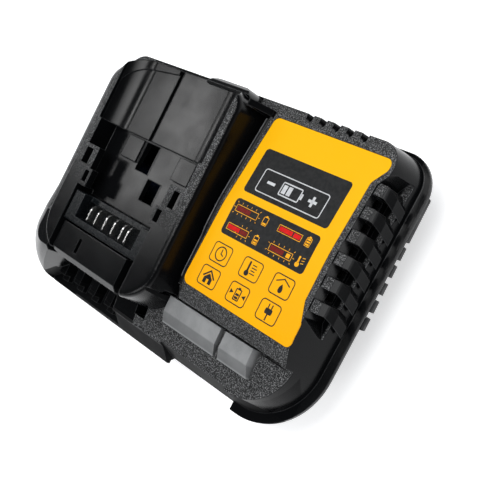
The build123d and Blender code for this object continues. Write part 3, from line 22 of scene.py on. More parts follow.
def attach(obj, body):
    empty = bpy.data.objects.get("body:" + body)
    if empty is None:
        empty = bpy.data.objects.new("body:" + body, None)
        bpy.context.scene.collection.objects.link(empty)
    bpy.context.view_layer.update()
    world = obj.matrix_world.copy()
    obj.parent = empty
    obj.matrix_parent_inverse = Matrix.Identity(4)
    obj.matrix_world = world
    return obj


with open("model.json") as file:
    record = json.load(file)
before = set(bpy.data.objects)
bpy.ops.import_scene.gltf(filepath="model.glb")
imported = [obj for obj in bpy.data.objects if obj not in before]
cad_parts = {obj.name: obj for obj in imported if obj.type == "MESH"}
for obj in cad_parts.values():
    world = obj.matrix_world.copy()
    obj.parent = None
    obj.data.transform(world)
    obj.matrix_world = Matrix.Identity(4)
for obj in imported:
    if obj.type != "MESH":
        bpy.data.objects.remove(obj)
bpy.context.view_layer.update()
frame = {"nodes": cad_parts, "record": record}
nodes = frame["nodes"]
mm = 0.001
print("CAD nodes:", len(nodes))

# %% Helpers for objects and node trees


def placed(name, data):
    """New object with some data, linked to the scene."""
    made = bpy.data.objects.new(name, data)
    bpy.context.scene.collection.objects.link(made)
    return made


def emptied(owner):
    """Node tree of a material or a world, without the nodes it starts with."""
    owner.use_nodes = True
    owner.node_tree.nodes.clear()
    return owner.node_tree


def fill(tree, socket, value):
    """Give a socket a number, a colour, or what another node puts out."""
    if isinstance(value, bpy.types.Node):
        value = value.outputs[0]
    if isinstance(value, bpy.types.NodeSocket):
        tree.links.new(value, socket)
    elif isinstance(value, (int, float)):
        socket.default_value = value
    else:
        socket.default_value = (*value, 1)[: len(socket.default_value)]


def add_node(tree, kind, *inputs, **settings):
    """New node with its settings made and its first inputs filled; None skips one."""
    made = tree.nodes.new(kind)
    for name, value in settings.items():
        setattr(made, name, value)
    for socket, value in zip(made.inputs, inputs):
        if value is not None:
            fill(tree, socket, value)
    return made


# %% [markdown]
# ## Camera
#
# The camera is close to the charger, so parallel edges converge a little.  It is
# given by the directions of its own right, up and backward axes, because it is
# held at a tilt and no plain pan and tilt describes that.  A lens of 57.6 mm on
# a 36 mm sensor gives the angle of view.

# %% The camera
camera_place = (225.146, 10.008, 266.215)
camera_right = (0.68069, 0.44951, -0.57844)
camera_up = (-0.36647, 0.89265, 0.26243)
camera_back = (0.63432, 0.03335, 0.77235)
nearest_seen = 10

camera_data = bpy.data.cameras.new("camera")
camera_data.sensor_width = 36
camera_data.lens = 57.6
camera_data.clip_start = nearest_seen * mm
camera = placed("camera", camera_data)
turn = Matrix((camera_right, camera_up, camera_back)).transposed().to_4x4()
camera.matrix_world = Matrix.Translation(Vector(camera_place) * mm) @ turn
bpy.context.scene.camera = camera
print("camera is", round((Vector(camera_place)).length), "mm from the origin")

# %% [markdown]
# ## Light
#
# Black plastic shows almost nothing but the lamps' reflections, so the lamps
# decide how it looks.  The lamp on the left is what the flat tops reflect, so it
# draws the soft sheen in the bay.  A broad lamp overhead lights the label, and a
# weak one in front finds the rounded edges.  The room is white near the horizon
# and dark overhead, as a studio with a black ceiling is, which keeps the blacks
# deep.  Light that only reaches matt surfaces comes from a dim and even room.

# %% The lamps


def lamp(name, place, aim, width, height, power):
    """A rectangular soft box that faces a point of the object."""
    data = bpy.data.lights.new(name, "AREA")
    data.shape = "RECTANGLE"
    data.size = width * mm
    data.size_y = height * mm
    data.energy = power
    ray = (Vector(aim) - Vector(place)) * mm
    facing = ray.to_track_quat("-Z", "Y").to_matrix().to_4x4()
    placed(name, data).matrix_world = Matrix.Translation(Vector(place) * mm) @ facing


lamp("overhead_box", (60, 170, 640), (10, 0, 30), 460, 420, 2.6)
lamp("left_box", (-606, 60, 585), (-18, 60, 43), 240, 100, 0.44)
lamp("front_box", (80, -520, 420), (10, -20, 30), 380, 240, 1.1)

# %% The room
room_tint = (0.92, 0.95, 1)
room_strength = 0.5
horizon_height, ceiling_height = 0.02, 0.3
horizon_tone, ceiling_tone = 1.0, 0.03


def seen_directly(tree):
    """One for the rays of the camera, of gloss and of glass, which meet the backdrop."""
    path = add_node(tree, "ShaderNodeLightPath")
    share = path.outputs["Is Camera Ray"]
    for ray in ("Is Glossy Ray", "Is Transmission Ray"):
        share = add_node(tree, "ShaderNodeMath", share, path.outputs[ray], operation="MAXIMUM")
    return share


world = bpy.data.worlds.new("studio")
bpy.context.scene.world = world
tree = emptied(world)
direction = add_node(tree, "ShaderNodeTexCoord").outputs["Generated"]
upward = add_node(tree, "ShaderNodeSeparateXYZ", direction).outputs[2]
backdrop_tone = add_node(
    tree,
    "ShaderNodeMapRange",
    upward,
    horizon_height,
    ceiling_height,
    horizon_tone,
    ceiling_tone,
    interpolation_type="SMOOTHSTEP",
)
dim = add_node(tree, "ShaderNodeBackground", room_tint, room_strength)
bright = add_node(tree, "ShaderNodeBackground", backdrop_tone, 1.0)
choice = add_node(tree, "ShaderNodeMixShader", seen_directly(tree), dim, bright)
add_node(tree, "ShaderNodeOutputWorld", choice)

bpy.context.scene.view_settings.view_transform = "Standard"

# %% [markdown]
# ## The nodes of a finish
#
# Every finish below is one Principled shader with a few textures in front of
# it.  The small class only saves typing: it makes a node, fills its sockets and
# hands back the output.  Sizes of noise are given in millimetres, as one would
# describe a real surface.

# %% A helper for finishes
# nearly all values of a noise lie in this range
noise_range = (0.3, 0.7)
# lean of the rounded normal from the true one where the lightening of an edge starts and is full
edge_lean = (0.012, 0.2)
bevel_samples = 6


class Finish:
    """One material: a Principled shader and the nodes that feed it."""

    def __init__(self, name, **constants):
        self.name = name
        self.material = bpy.data.materials.new(name)
        self.tree = emptied(self.material)
        self.shader = add_node(self.tree, "ShaderNodeBsdfPrincipled")
        add_node(self.tree, "ShaderNodeOutputMaterial", self.shader)
        coordinate = add_node(self.tree, "ShaderNodeTexCoord")
        self.place = coordinate.outputs["Object"]
        self.facing = coordinate.outputs["Normal"]
        self.set(**constants)

    def set(self, **sockets):
        """Fill sockets of the shader, named with underscores for spaces."""
        for name, value in sockets.items():
            fill(self.tree, self.shader.inputs[name.replace("_", " ")], value)

    def node(self, kind, *inputs, **settings):
        return add_node(self.tree, kind, *inputs, **settings).outputs[0]

    def math(self, operation, first, *others):
        """Combine numbers from left to right."""
        for other in others:
            first = self.node("ShaderNodeMath", first, other, operation=operation)
        return first

    def times(self, *factors):
        return self.math("MULTIPLY", *factors)

    def most(self, *masks):
        return self.math("MAXIMUM", *masks)

    def parts(self, vector):
        return add_node(self.tree, "ShaderNodeSeparateXYZ", vector).outputs

    def xyz(self):
        """The place on the object in millimetres, as three numbers."""
        per_metre = (1 / mm,) * 3
        scaled = self.node("ShaderNodeVectorMath", self.place, per_metre, operation="MULTIPLY")
        return self.parts(scaled)

    def span(self, value, low, high, to_low=0.0, to_high=1.0):
        """Smooth step of value from low to high."""
        ends = (low, high, to_low, to_high)
        return self.node("ShaderNodeMapRange", value, *ends, interpolation_type="SMOOTHSTEP")

    def below(self, value, low, high):
        """One up to low, and from there down to zero at high."""
        return self.span(value, low, high, 1.0, 0.0)

    def between(self, value, low, high, soft=0.3):
        """One inside a range and zero outside of it."""
        rise = self.span(value, low - soft, low + soft)
        return self.times(rise, self.below(value, high - soft, high + soft))

    def noise(self, size, detail=3.0, roughness=0.55, stretch=None):
        """Noise whose features are about size millimetres across."""
        place = self.place
        if stretch:
            place = self.node("ShaderNodeMapping", place, None, None, stretch)
        made = add_node(self.tree, "ShaderNodeTexNoise", place)
        made.inputs["Scale"].default_value = 1 / mm / size
        made.inputs["Detail"].default_value = detail
        made.inputs["Roughness"].default_value = roughness
        return made.outputs["Fac"]

    def uneven(self, size, low, high):
        """Number that drifts from low to high over patches of some size."""
        return self.span(self.noise(size), *noise_range, low, high)

    def mix(self, share, first, second):
        """Colour that goes from the first to the second."""
        made = add_node(self.tree, "ShaderNodeMix", data_type="RGBA")
        sockets = {socket.identifier: socket for socket in made.inputs}
        for name, value in (("Factor_Float", share), ("A_Color", first), ("B_Color", second)):
            fill(self.tree, sockets[name], value)
        return next(s for s in made.outputs if s.identifier == "Result_Color")

    def soft_edges(self, radius):
        """Normal that is rounded off over radius millimetres at every edge."""
        return self.node("ShaderNodeBevel", radius * mm, samples=bevel_samples)

    def edge_amount(self, rounded):
        """How strongly a point lies on an edge: rounded normal against true normal."""
        true = add_node(self.tree, "ShaderNodeNewGeometry").outputs["Normal"]
        dot = add_node(self.tree, "ShaderNodeVectorMath", rounded, true, operation="DOT_PRODUCT")
        return self.span(self.math("SUBTRACT", 1.0, dot.outputs["Value"]), *edge_lean)

    def bump(self, height, depth, strength, normal=None):
        """Relief of depth millimetres."""
        made = add_node(self.tree, "ShaderNodeBump", strength, depth * mm)
        fill(self.tree, made.inputs["Height"], height)
        if normal is not None:
            fill(self.tree, made.inputs["Normal"], normal)
        return made.outputs[0]


def paint(piece, finish):
    """Put one finish on every face of a piece."""
    piece.data.materials.clear()
    piece.data.materials.append(finish.material)


# %% [markdown]
# ## Black housing
#
# The top moulding has two finishes from one tool: the faces one touches carry a
# fine spark-eroded grain, while the grooves, the flanks and the bay are
# polished and look darker.  The mask comes from which way a face points and
# where it is, so one material serves the whole moulding.  The Bevel node rounds
# every edge a little, as no moulded edge is truly sharp, and the same node tells
# where an edge is painted lighter, in patches, as wear and as painted highlight.
# The flanks, the louvre claws and the low walls get painted shade: a black
# specular tint takes their reflections away.

# %% Sizes in the finish of the top housing
edge_radius = 0.6
grain_size, grain_depth = 0.55, 0.16
speck_size = 0.46
# size of the patches in the lightened edges, wear and painted highlight
edge_patch_size = 3.2
cloud_size = 14
flow_size, flow_stretch = 26, (1, 0.4, 1)
upward_facing = (0.72, 0.95)
# a pair says where a change starts and where it ends, along one axis
bay_left, bay_right = -62.6, 7.4
bay_front = (-26.0, -25.6)
rail_top = (49.4, 49.7)
rail_shine_end = (-12.0, 10.0)
louvre_side = (77.6, 77.9)
louvre_foot = (28.6, 29.4)
louvre_front, louvre_back = -14, 45
low_wall_top = (28.2, 29.6)
low_wall_side = (76.0, 77.0)
stop_back = (-25.6, -25.2)
stop_side = (-8.4, -7.6)
rim_top = (22.6, 23.4)
facet_back = (-49.4, -49.1)
facet_top = (30.0, 31.0)

# %% Finish of the top housing


def black_housing():
    finish = Finish("housing_black", IOR=1.47, Specular_IOR_Level=0.4)
    x, y, z = finish.xyz()
    up = finish.span(finish.parts(finish.facing)[2], *upward_facing)
    inside = finish.times(
        finish.between(x, bay_left, bay_right, 0.1),
        finish.span(y, *bay_front),
        finish.below(z, *rail_top),
    )
    claws = finish.times(
        finish.span(x, *louvre_side),
        finish.span(z, *louvre_foot),
        finish.between(y, louvre_front, louvre_back),
    )
    low = finish.times(finish.below(z, *low_wall_top), finish.below(x, *low_wall_side))
    rails = finish.times(finish.span(z, *rail_top), finish.below(y, *rail_shine_end))
    stop = finish.times(finish.below(y, *stop_back), finish.below(x, *stop_side))
    rim = finish.below(z, *rim_top)
    facet = finish.times(finish.below(y, *facet_back), finish.below(z, *facet_top))
    smooth = finish.most(inside, low, claws, rails, rim, stop)
    grainy = finish.times(up, finish.math("SUBTRACT", 1.0, smooth))
    flank = finish.math("SUBTRACT", 1.0, up)

    rounded = finish.soft_edges(edge_radius)
    cloud = finish.noise(cloud_size, 2.0)
    flow = finish.noise(flow_size, 2.0, 0.5, flow_stretch)
    speck = finish.span(finish.noise(speck_size, 1.0, 0.6), 0.45, 0.7)
    plain = finish.mix(flow, (0.0022, 0.0024, 0.0028), (0.0042, 0.0045, 0.005))
    coarse = finish.mix(speck, (0.005, 0.0052, 0.0056), (0.215, 0.217, 0.219))
    coarse = finish.mix(finish.times(cloud, 0.35), coarse, (0.02, 0.0203, 0.021))
    colour = finish.mix(grainy, plain, coarse)
    # painted highlight and wear: the edges are lightened in patches
    patchy = finish.span(finish.noise(edge_patch_size), 0.3, 0.75, 0.35, 1.0)
    wear_and_highlight = finish.times(finish.edge_amount(rounded), patchy)
    colour = finish.mix(finish.times(wear_and_highlight, 0.6), colour, (0.085, 0.087, 0.09))

    rough = finish.math(
        "ADD",
        finish.span(cloud, 0.25, 0.75, 0.18, 0.26),
        finish.times(grainy, 0.25),
        finish.times(facet, 0.5),
        finish.times(claws, 0.45),
    )
    # painted shade: a black specular tint takes the reflections off the louvre claws, the low
    # walls and, mostly, the flanks
    painted_shade_share = finish.most(claws, low, finish.times(flank, 0.75))
    relief = finish.span(grainy, 0, 1, 0.05, 1.0)
    grain = finish.times(finish.noise(grain_size, 2.0, 0.65), relief)
    finish.set(
        Base_Color=colour,
        Roughness=rough,
        Specular_Tint=finish.mix(painted_shade_share, (1.0, 1.0, 1.0), (0.0, 0.0, 0.0)),
        Normal=finish.bump(grain, grain_depth, 0.9, rounded),
    )
    return finish


# %% [markdown]
# ## Black base
#
# The lower moulding carries the same black but no polished areas.  It stands on
# tables and in tool bags, so the lower third is a little dusty.

# %% Finish of the base
dust_top = (0.5, 9.0)
dust_size = 9


def black_base():
    finish = Finish("base_black", IOR=1.47, Specular_IOR_Level=0.15)
    z = finish.xyz()[2]
    rounded = finish.soft_edges(edge_radius)
    patchy = finish.span(finish.noise(dust_size), 0.4, 0.7)
    dust = finish.times(finish.below(z, *dust_top), patchy)
    colour = finish.mix(finish.noise(18), (0.003, 0.0032, 0.0036), (0.0055, 0.0057, 0.0062))
    # painted highlight and wear: the edges are lightened
    colour = finish.mix(finish.times(finish.edge_amount(rounded), 0.4), colour, (0.04, 0.041, 0.044))
    colour = finish.mix(finish.times(dust, 0.35), colour, (0.045, 0.043, 0.04))
    finish.set(
        Base_Color=colour,
        Roughness=finish.uneven(6, 0.5, 0.66),
        Normal=finish.bump(finish.noise(0.5, 2.0), 0.03, 0.6, rounded),
    )
    return finish


# %% Finishes of the other parts
# where the light pipes get painted shade and a painted glow
pipe_front_shade = (-37.8, -37.0)
pipe_foot_glow = (-42.0, -41.0)
pipe_inside_shade = (29.5, 34.0)
label_front, label_back = -26, 44


def moulded(
    name, dark, light, rough=0.42, grain=0.5, depth=0.02, painted_edge_highlight=None, radius=0.3, level=0.4
):
    """Plain plastic with slight mottling, a fine grain, soft edges and, when a colour is given, a
    painted highlight on the edges.
    """
    finish = Finish(name, IOR=1.48, Specular_IOR_Level=level)
    rounded = finish.soft_edges(radius)
    colour = finish.mix(finish.uneven(5.0, 0.0, 1.0), dark, light)
    # painted highlight: the edges are lightened
    if painted_edge_highlight:
        colour = finish.mix(finish.times(finish.edge_amount(rounded), 0.5), colour, painted_edge_highlight)
    finish.set(
        Base_Color=colour,
        Roughness=finish.uneven(3.0, rough - 0.05, rough + 0.07),
        Normal=finish.bump(finish.noise(grain, 2.0), depth, 0.6, rounded),
    )
    return finish


def metal(name, dark, light, rough, scratch=(1, 1, 1)):
    """Metal with fine lines along one direction."""
    finish = Finish(name, Metallic=1.0)
    rounded = finish.soft_edges(0.12)
    lines = finish.noise(0.5, 3.0, 0.6, scratch)
    finish.set(
        Base_Color=finish.mix(lines, dark, light),
        Roughness=finish.span(lines, *noise_range, rough - 0.06, rough + 0.08),
        Normal=finish.bump(lines, 0.003, 0.5, rounded),
    )
    return finish


def yellow_label():
    """Printed label under a satin film, a little warmer towards its front."""
    finish = Finish("label_yellow", IOR=1.5, Specular_IOR_Level=0.12)
    along = finish.span(finish.xyz()[1], label_front, label_back)
    tint = finish.mix(along, (0.9, 0.4, 0.002), (0.93, 0.47, 0.003))
    patch = finish.span(finish.noise(30, 1.0), 0.35, 0.65, 0.0, 0.35)
    finish.set(
        Base_Color=finish.mix(patch, tint, (0.94, 0.47, 0.003)),
        Roughness=finish.uneven(4.0, 0.34, 0.44),
        Normal=finish.bump(finish.noise(0.6, 2.0), 0.008, 0.5, finish.soft_edges(0.15)),
    )
    return finish


def frosted_lens():
    """Milky light pipe that lets some light through, with painted shade deep inside and on its
    front slope, a painted glow at its foot and painted highlights on its edges.
    """
    finish = Finish("lens_clear", IOR=1.49, Transmission_Weight=0.25, Specular_IOR_Level=0.5)
    _, y, z = finish.xyz()
    rounded = finish.soft_edges(0.4)
    tone = finish.mix(finish.uneven(7.0, 0.0, 1.0), (0.27, 0.274, 0.276), (0.37, 0.374, 0.374))
    frost = finish.times(finish.span(finish.noise(0.45, 1.0), 0.42, 0.72), 0.45)
    tone = finish.mix(frost, tone, (0.36, 0.365, 0.365))
    # painted shade: the pipe is darker deep inside, towards the lamp end
    tone = finish.mix(finish.span(z, *pipe_inside_shade, 0.8, 0.0), tone, (0.04, 0.041, 0.043))
    # painted shade darkens the front slope, and a painted glow lightens its foot
    front = finish.times(finish.below(y, *pipe_front_shade), 0.5)
    tone = finish.mix(front, tone, (0.1, 0.103, 0.104))
    foot = finish.times(finish.below(y, *pipe_foot_glow), 0.7)
    tone = finish.mix(foot, tone, (0.42, 0.43, 0.43))
    # painted highlight: the edges are lightened
    tone = finish.mix(finish.times(finish.edge_amount(rounded), 0.6), tone, (0.5, 0.51, 0.51))
    finish.set(
        Base_Color=tone,
        Roughness=finish.uneven(2.0, 0.3, 0.42),
        Normal=finish.bump(finish.noise(0.5, 2.0), 0.02, 0.6, rounded),
    )
    return finish


# %% Each part gets the finish of its material
lengthwise = (1, 1, 12)
housing_black = black_housing()
made_finishes = [
    housing_black,
    black_base(),
    # its edges get a painted highlight
    moulded(
        "block_grey",
        (0.004, 0.0052, 0.0062),
        (0.0075, 0.009, 0.0105),
        rough=0.26,
        painted_edge_highlight=(0.14, 0.15, 0.16),
        level=0.35,
    ),
    metal("contact_metal", (0.62, 0.62, 0.6), (0.86, 0.86, 0.85), 0.24, lengthwise),
    yellow_label(),
    frosted_lens(),
    moulded("bush_rubber", (0.01, 0.01, 0.011), (0.018, 0.018, 0.019), 0.6, 0.4, 0.04),
    metal("screw_steel", (0.42, 0.42, 0.43), (0.62, 0.62, 0.63), 0.3),
    moulded("led_white", (0.75, 0.72, 0.6), (0.85, 0.83, 0.74), 0.25),
    moulded("board_green", (0.012, 0.075, 0.03), (0.02, 0.11, 0.045), 0.3, 1.4, 0.03),
    moulded("ferrite_grey", (0.035, 0.035, 0.038), (0.06, 0.06, 0.063), 0.6),
    moulded("bobbin_black", (0.02, 0.02, 0.02), (0.035, 0.035, 0.035), 0.45),
    moulded("tape_yellow", (0.6, 0.38, 0.04), (0.72, 0.47, 0.06), 0.25),
    metal("copper_wire", (0.5, 0.16, 0.06), (0.72, 0.29, 0.12), 0.28),
    moulded("can_sleeve", (0.008, 0.012, 0.03), (0.014, 0.02, 0.045), 0.22),
    moulded("box_ivory", (0.5, 0.45, 0.31), (0.6, 0.55, 0.4), 0.4),
    moulded("disc_blue", (0.02, 0.06, 0.24), (0.035, 0.09, 0.32), 0.35),
    moulded("fuse_brown", (0.05, 0.02, 0.011), (0.08, 0.03, 0.016), 0.38),
    moulded("package_black", (0.012, 0.012, 0.013), (0.02, 0.02, 0.021), 0.5),
    metal("sink_aluminium", (0.55, 0.56, 0.57), (0.78, 0.79, 0.8), 0.35, lengthwise),
]
finishes = {finish.name: finish for finish in made_finishes}
for part in frame["record"]["subparts"]:
    paint(nodes[part["node"]], finishes[part["material_slot"]])
print("finishes:", len(finishes))

# %% [markdown]
# ## Prints on the label
#
# The label is printed in charcoal, grey, amber and red.  Each print is a set of
# flat outlines that are filled, cut into strips and dropped onto the curved
# label, as a real print lies on its film.  Text is no part of it: the pictures
# are plain signs, such as a battery, a plug, a thermometer, a clock and a house.

# %% Outlines in the plane
smallest_corner = 0.05
battery_corner = 0.4
cap_height = 0.45
bar_gap, bar_step_gap = 0.2, 0.35


def slab(left, low, right, high, corner=0.0, steps=5):
    """Rectangle with round corners, as a list of points."""
    if corner <= 0:
        return [(left, low), (right, low), (right, high), (left, high)]
    points = []
    for cx, cy, start in (
        (right - corner, low + corner, -90),
        (right - corner, high - corner, 0),
        (left + corner, high - corner, 90),
        (left + corner, low + corner, 180),
    ):
        for i in range(steps + 1):
            angle = radians(start + 90 * i / steps)
            points.append((cx + corner * cos(angle), cy + corner * sin(angle)))
    return points


def frame_of(left, low, right, high, corner, line):
    """Outline of a rounded rectangle, drawn with a line: its rim and its hole."""
    inner_corner = max(corner - line, smallest_corner)
    inner = slab(left + line, low + line, right - line, high - line, inner_corner)
    return [slab(left, low, right, high, corner), inner]


def disc(x, y, radius, steps=24):
    turns = [2 * pi * i / steps for i in range(steps)]
    return [(x + radius * cos(t), y + radius * sin(t)) for t in turns]


def stroke(x0, y0, x1, y1, line):
    """Straight line of some width."""
    along = Vector((x1 - x0, y1 - y0)).normalized() * line / 2
    side = Vector((-along.y, along.x))
    start, end = Vector((x0, y0)) - along, Vector((x1, y1)) + along
    return [tuple(p) for p in (start - side, end - side, end + side, start + side)]


def battery(x, y, width, height, bars, line):
    """Upright battery with some of its three bars filled."""
    left, right = x - width / 2, x + width / 2
    foot, top = y - height / 2, y + height / 2
    shapes = [frame_of(left, foot, right, top, battery_corner, line)]
    shapes.append(slab(x - width / 5, top, x + width / 5, top + cap_height))
    bar = (height - 2 * line) / 3
    bar_left, bar_right = left + line + bar_gap, right - line - bar_gap
    for i in range(bars):
        low = foot + line + i * bar + bar_gap
        shapes.append(slab(bar_left, low, bar_right, low + bar - bar_step_gap))
    return shapes


# %% Laying a print on the label


def copy_of(mesh):
    bm = bmesh.new()
    bm.from_mesh(mesh)
    return bm


def surface_of(bm):
    """Search tree of a mesh, which is freed."""
    surface = BVHTree.FromBMesh(bm)
    bm.free()
    return surface


def height_on(surface, x, y):
    """Height of a surface at a place, found from a metre above; all in metres."""
    return surface.ray_cast(Vector((x, y, 1)), Vector((0, 0, -1)))[0].z


weld_distance = 0.001
first_cut, last_cut, cut_step = -24, 52, 2
# a print that lies over another is lifted a little more
charcoal_lift, grey_lift, lamp_lift = 0.02, 0.04, 0.05
label_skin = copy_of(nodes["label_plate"].data)
bmesh.ops.remove_doubles(label_skin, verts=label_skin.verts, dist=weld_distance * mm)
label_surface = surface_of(label_skin)


def lay_on_label(bm, lift):
    """Put every point of a flat mesh a little above the label."""
    for vert in bm.verts:
        vert.co.z = height_on(label_surface, vert.co.x, vert.co.y) + lift * mm


def face_up(bm):
    """Turn every face that looks down."""
    bm.normal_update()
    for face in bm.faces:
        if face.normal.z < 0:
            face.normal_flip()


def piece_of(name, bm):
    """Keep a mesh as a piece that rides on the charger."""
    mesh = bpy.data.meshes.new(name)
    bm.to_mesh(mesh)
    bm.free()
    piece = placed(name, mesh)
    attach(piece, "root")
    return piece


def printed(name, shapes, lift, finish):
    """Fill outlines given in millimetres, drop them onto the label and ink them.

    A shape is one loop of points, or a loop followed by the holes in it.
    """
    bm = bmesh.new()
    for shape in shapes:
        loops = [shape] if isinstance(shape[0][0], (int, float)) else shape
        rings = [[Vector((x, y, 0)) for x, y in loop] for loop in loops]
        verts = [bm.verts.new(point) for ring in rings for point in ring]
        for corners in tessellate_polygon(rings):
            bm.faces.new([verts[i] for i in corners])
    for cut in range(first_cut, last_cut, cut_step):
        everything = bm.verts[:] + bm.edges[:] + bm.faces[:]
        bmesh.ops.bisect_plane(bm, geom=everything, plane_co=(0, cut, 0), plane_no=(0, 1, 0))
    for vert in bm.verts:
        vert.co *= mm
    lay_on_label(bm, lift)
    bmesh.ops.triangulate(bm, faces=bm.faces)
    face_up(bm)
    paint(piece_of(name, bm), finish)


def ink(name, dark, light):
    finish = Finish(name, IOR=1.5, Specular_IOR_Level=0.12)
    finish.set(
        Base_Color=finish.mix(finish.uneven(1.6, 0.0, 1.0), dark, light),
        Roughness=finish.uneven(4.0, 0.35, 0.45),
        Normal=finish.bump(finish.noise(0.6, 2.0), 0.008, 0.5),
    )
    return finish


# %% The charcoal print
upper_panel = (22.6, 19.0, 65.5, 37.6)
lower_panel = (22.5, 1.0, 65.4, 15.9)
house_tile, heat_tile, battery_tile = (27.7, -16.0), (44.2, -5.9), (43.8, -16.1)
plug_tile, clock_tile, drop_tile = (59.7, -15.9), (28.0, -6.2), (59.9, -5.7)
tile_width, tile_height = 9.9, 8.0
tile_line = 0.42

charcoal = [slab(*upper_panel, 1.5), slab(*lower_panel, 1.5)]
for x, y in (house_tile, heat_tile, battery_tile, plug_tile, clock_tile, drop_tile):
    left, low = x - tile_width / 2, y - tile_height / 2
    charcoal.append(frame_of(left, low, left + tile_width, low + tile_height, 1.6, tile_line))
# a house, for use indoors: its roof and the two halves of its wall round the door
x, y = house_tile
roof_top = [(x - 3.3, y - 0.1), (x, y + 2.9), (x + 3.3, y - 0.1)]
charcoal.append(roof_top + [(x + 2.7, y - 0.5), (x, y + 2.0), (x - 2.7, y - 0.5)])
door_side = [(x - 2.2, y - 2.7), (x - 0.6, y - 2.7), (x - 0.6, y - 0.9)]
charcoal.append(door_side + [(x, y - 0.9), (x, y + 1.4), (x - 2.2, y - 0.6)])
door_side = [(x, y - 0.9), (x + 0.6, y - 0.9), (x + 0.6, y - 2.7)]
charcoal.append([(x + 2.2, y - 2.7), (x + 2.2, y - 0.6), (x, y + 1.4)] + door_side)
# a thermometer with its marks
x, y = heat_tile
charcoal += [disc(x - 1.4, y - 1.8, 1.1), slab(x - 1.85, y - 1.2, x - 0.95, y + 2.9, 0.4)]
for i, d in enumerate((-1.4, -0.3, 0.8, 1.9)):
    charcoal.append(stroke(x + 0.2, y + d, x + 2.4 - 0.5 * (i % 2), y + d, 0.4))
# a battery between two arrows
x, y = battery_tile
charcoal += battery(x, y - 0.2, 3.0, 4.6, 2, 0.45)
for side in (-1, 1):
    charcoal.append([(x + side * 3.9, y + 0.9), (x + side * 2.1, y), (x + side * 3.9, y - 0.9)])
# a plug with its two pins and its lead
x, y = plug_tile
charcoal.append(slab(x - 1.7, y - 0.9, x + 1.7, y + 1.3, 0.6))
charcoal += [stroke(x + pin, y + 1.6, x + pin, y + 2.7, 0.5) for pin in (-0.8, 0.8)]
charcoal.append(stroke(x, y - 1.2, x, y - 2.9, 0.6))
# a clock
x, y = clock_tile
charcoal.append([disc(x, y, 2.9, 36), disc(x, y, 2.4, 36)])
charcoal += [stroke(x, y, x, y + 1.6, 0.45), stroke(x, y, x + 1.2, y - 0.5, 0.45)]
# a drop of water under a roof, to keep it dry
x, y = drop_tile
turns = [2 * pi * i / 28 for i in range(28)]
charcoal.append([(x + 1.3 * sin(t) * sin(t / 2), y - 0.9 + 1.7 * cos(t)) for t in turns])
charcoal.append(stroke(x - 3.1, y + 1.1, x, y + 2.7, 0.45))
charcoal.append(stroke(x, y + 2.7, x + 3.1, y + 1.1, 0.45))

charcoal_ink = ink("label_charcoal", (0.018, 0.0185, 0.019), (0.027, 0.0275, 0.028))
printed("label_charcoal_print", charcoal, charcoal_lift, charcoal_ink)
print("charcoal outlines:", len(charcoal))

# %% The grey print
grey = [frame_of(27.4, 20.8, 59.9, 30.5, 1.2, 0.4)]
# minus, plus and a battery inside of the outlined box
grey += [slab(31.2, 25.1, 35.2, 26.2), slab(52.1, 25.1, 56.1, 26.2)]
grey.append(slab(53.55, 23.65, 54.65, 27.65))
grey += [frame_of(38.2, 22.9, 48.2, 28.4, 0.7, 0.5), slab(48.3, 24.5, 49.2, 26.8)]
grey += [slab(x, 23.9, x + 1.9, 27.4) for x in (39.2, 41.7)]
grey_ink = ink("label_grey", (0.5, 0.51, 0.52), (0.62, 0.63, 0.64))
printed("label_grey_print", grey, grey_lift, grey_ink)

# %% The amber and red prints
bar_boxes = [(24.5, 11.1, 35.4, 13.2), (24.7, 3.5, 35.2, 5.6)]
bar_boxes += [(47.0, 11.2, 57.8, 13.3), (47.2, 3.6, 57.8, 5.8)]
bar_margin = 0.35

amber = []
for left, low, right, high in bar_boxes:
    outer = (left - bar_margin, low - bar_margin, right + bar_margin, high + bar_margin)
    amber.append(frame_of(*outer, 0.2, 0.22))
for x, y, bars in ((39.9, 12.0, 1), (39.9, 4.3, 2), (61.4, 12.2, 3)):
    amber += battery(x, y, 2.5, 3.4, bars, 0.25)
amber += [disc(61.3, 3.6, 0.95), slab(60.9, 3.9, 61.7, 6.8, 0.35), slab(55.4, 3.9, 57.2, 5.5)]
amber += [stroke(62.7, d, 63.7, d + 0.2, 0.25) for d in (4.4, 5.4, 6.4)]
amber_ink = ink("label_amber", (0.86, 0.36, 0.01), (0.93, 0.45, 0.015))
printed("label_amber_print", amber, lamp_lift, amber_ink)

red_lit = [slab(24.8, 3.7, 31.0, 5.4), slab(47.3, 11.4, 53.7, 13.1), slab(54.3, 11.4, 57.6, 13.1)]
lit_ink = ink("label_red", (0.55, 0.008, 0.008), (0.66, 0.012, 0.01))
printed("label_red_print", red_lit, lamp_lift, lit_ink)
red_dim = [slab(24.8, 11.3, 31.8, 13.0), slab(31.4, 3.7, 34.9, 5.4), slab(47.5, 3.8, 54.0, 5.6)]
dim_ink = ink("label_dim_red", (0.14, 0.012, 0.01), (0.19, 0.016, 0.014))
printed("label_dim_print", red_dim, lamp_lift, dim_ink)

# %% [markdown]
# ## Beads along the edges
#
# A raised bead runs down the panel where it meets the valley beside the bay and
# curves round the valley's end, and a thin light grey crest lies on it as a
# painted highlight; the bead's own edges carry a painted highlight too.  Each
# has one section all along, so a Geometry Nodes tree draws the section along a
# path: the path comes in as a chain of edges, becomes a curve, and a rounded
# rectangle follows it.

# %% Trees that follow a path
corner_points = 3
grown_weld = 0.0005


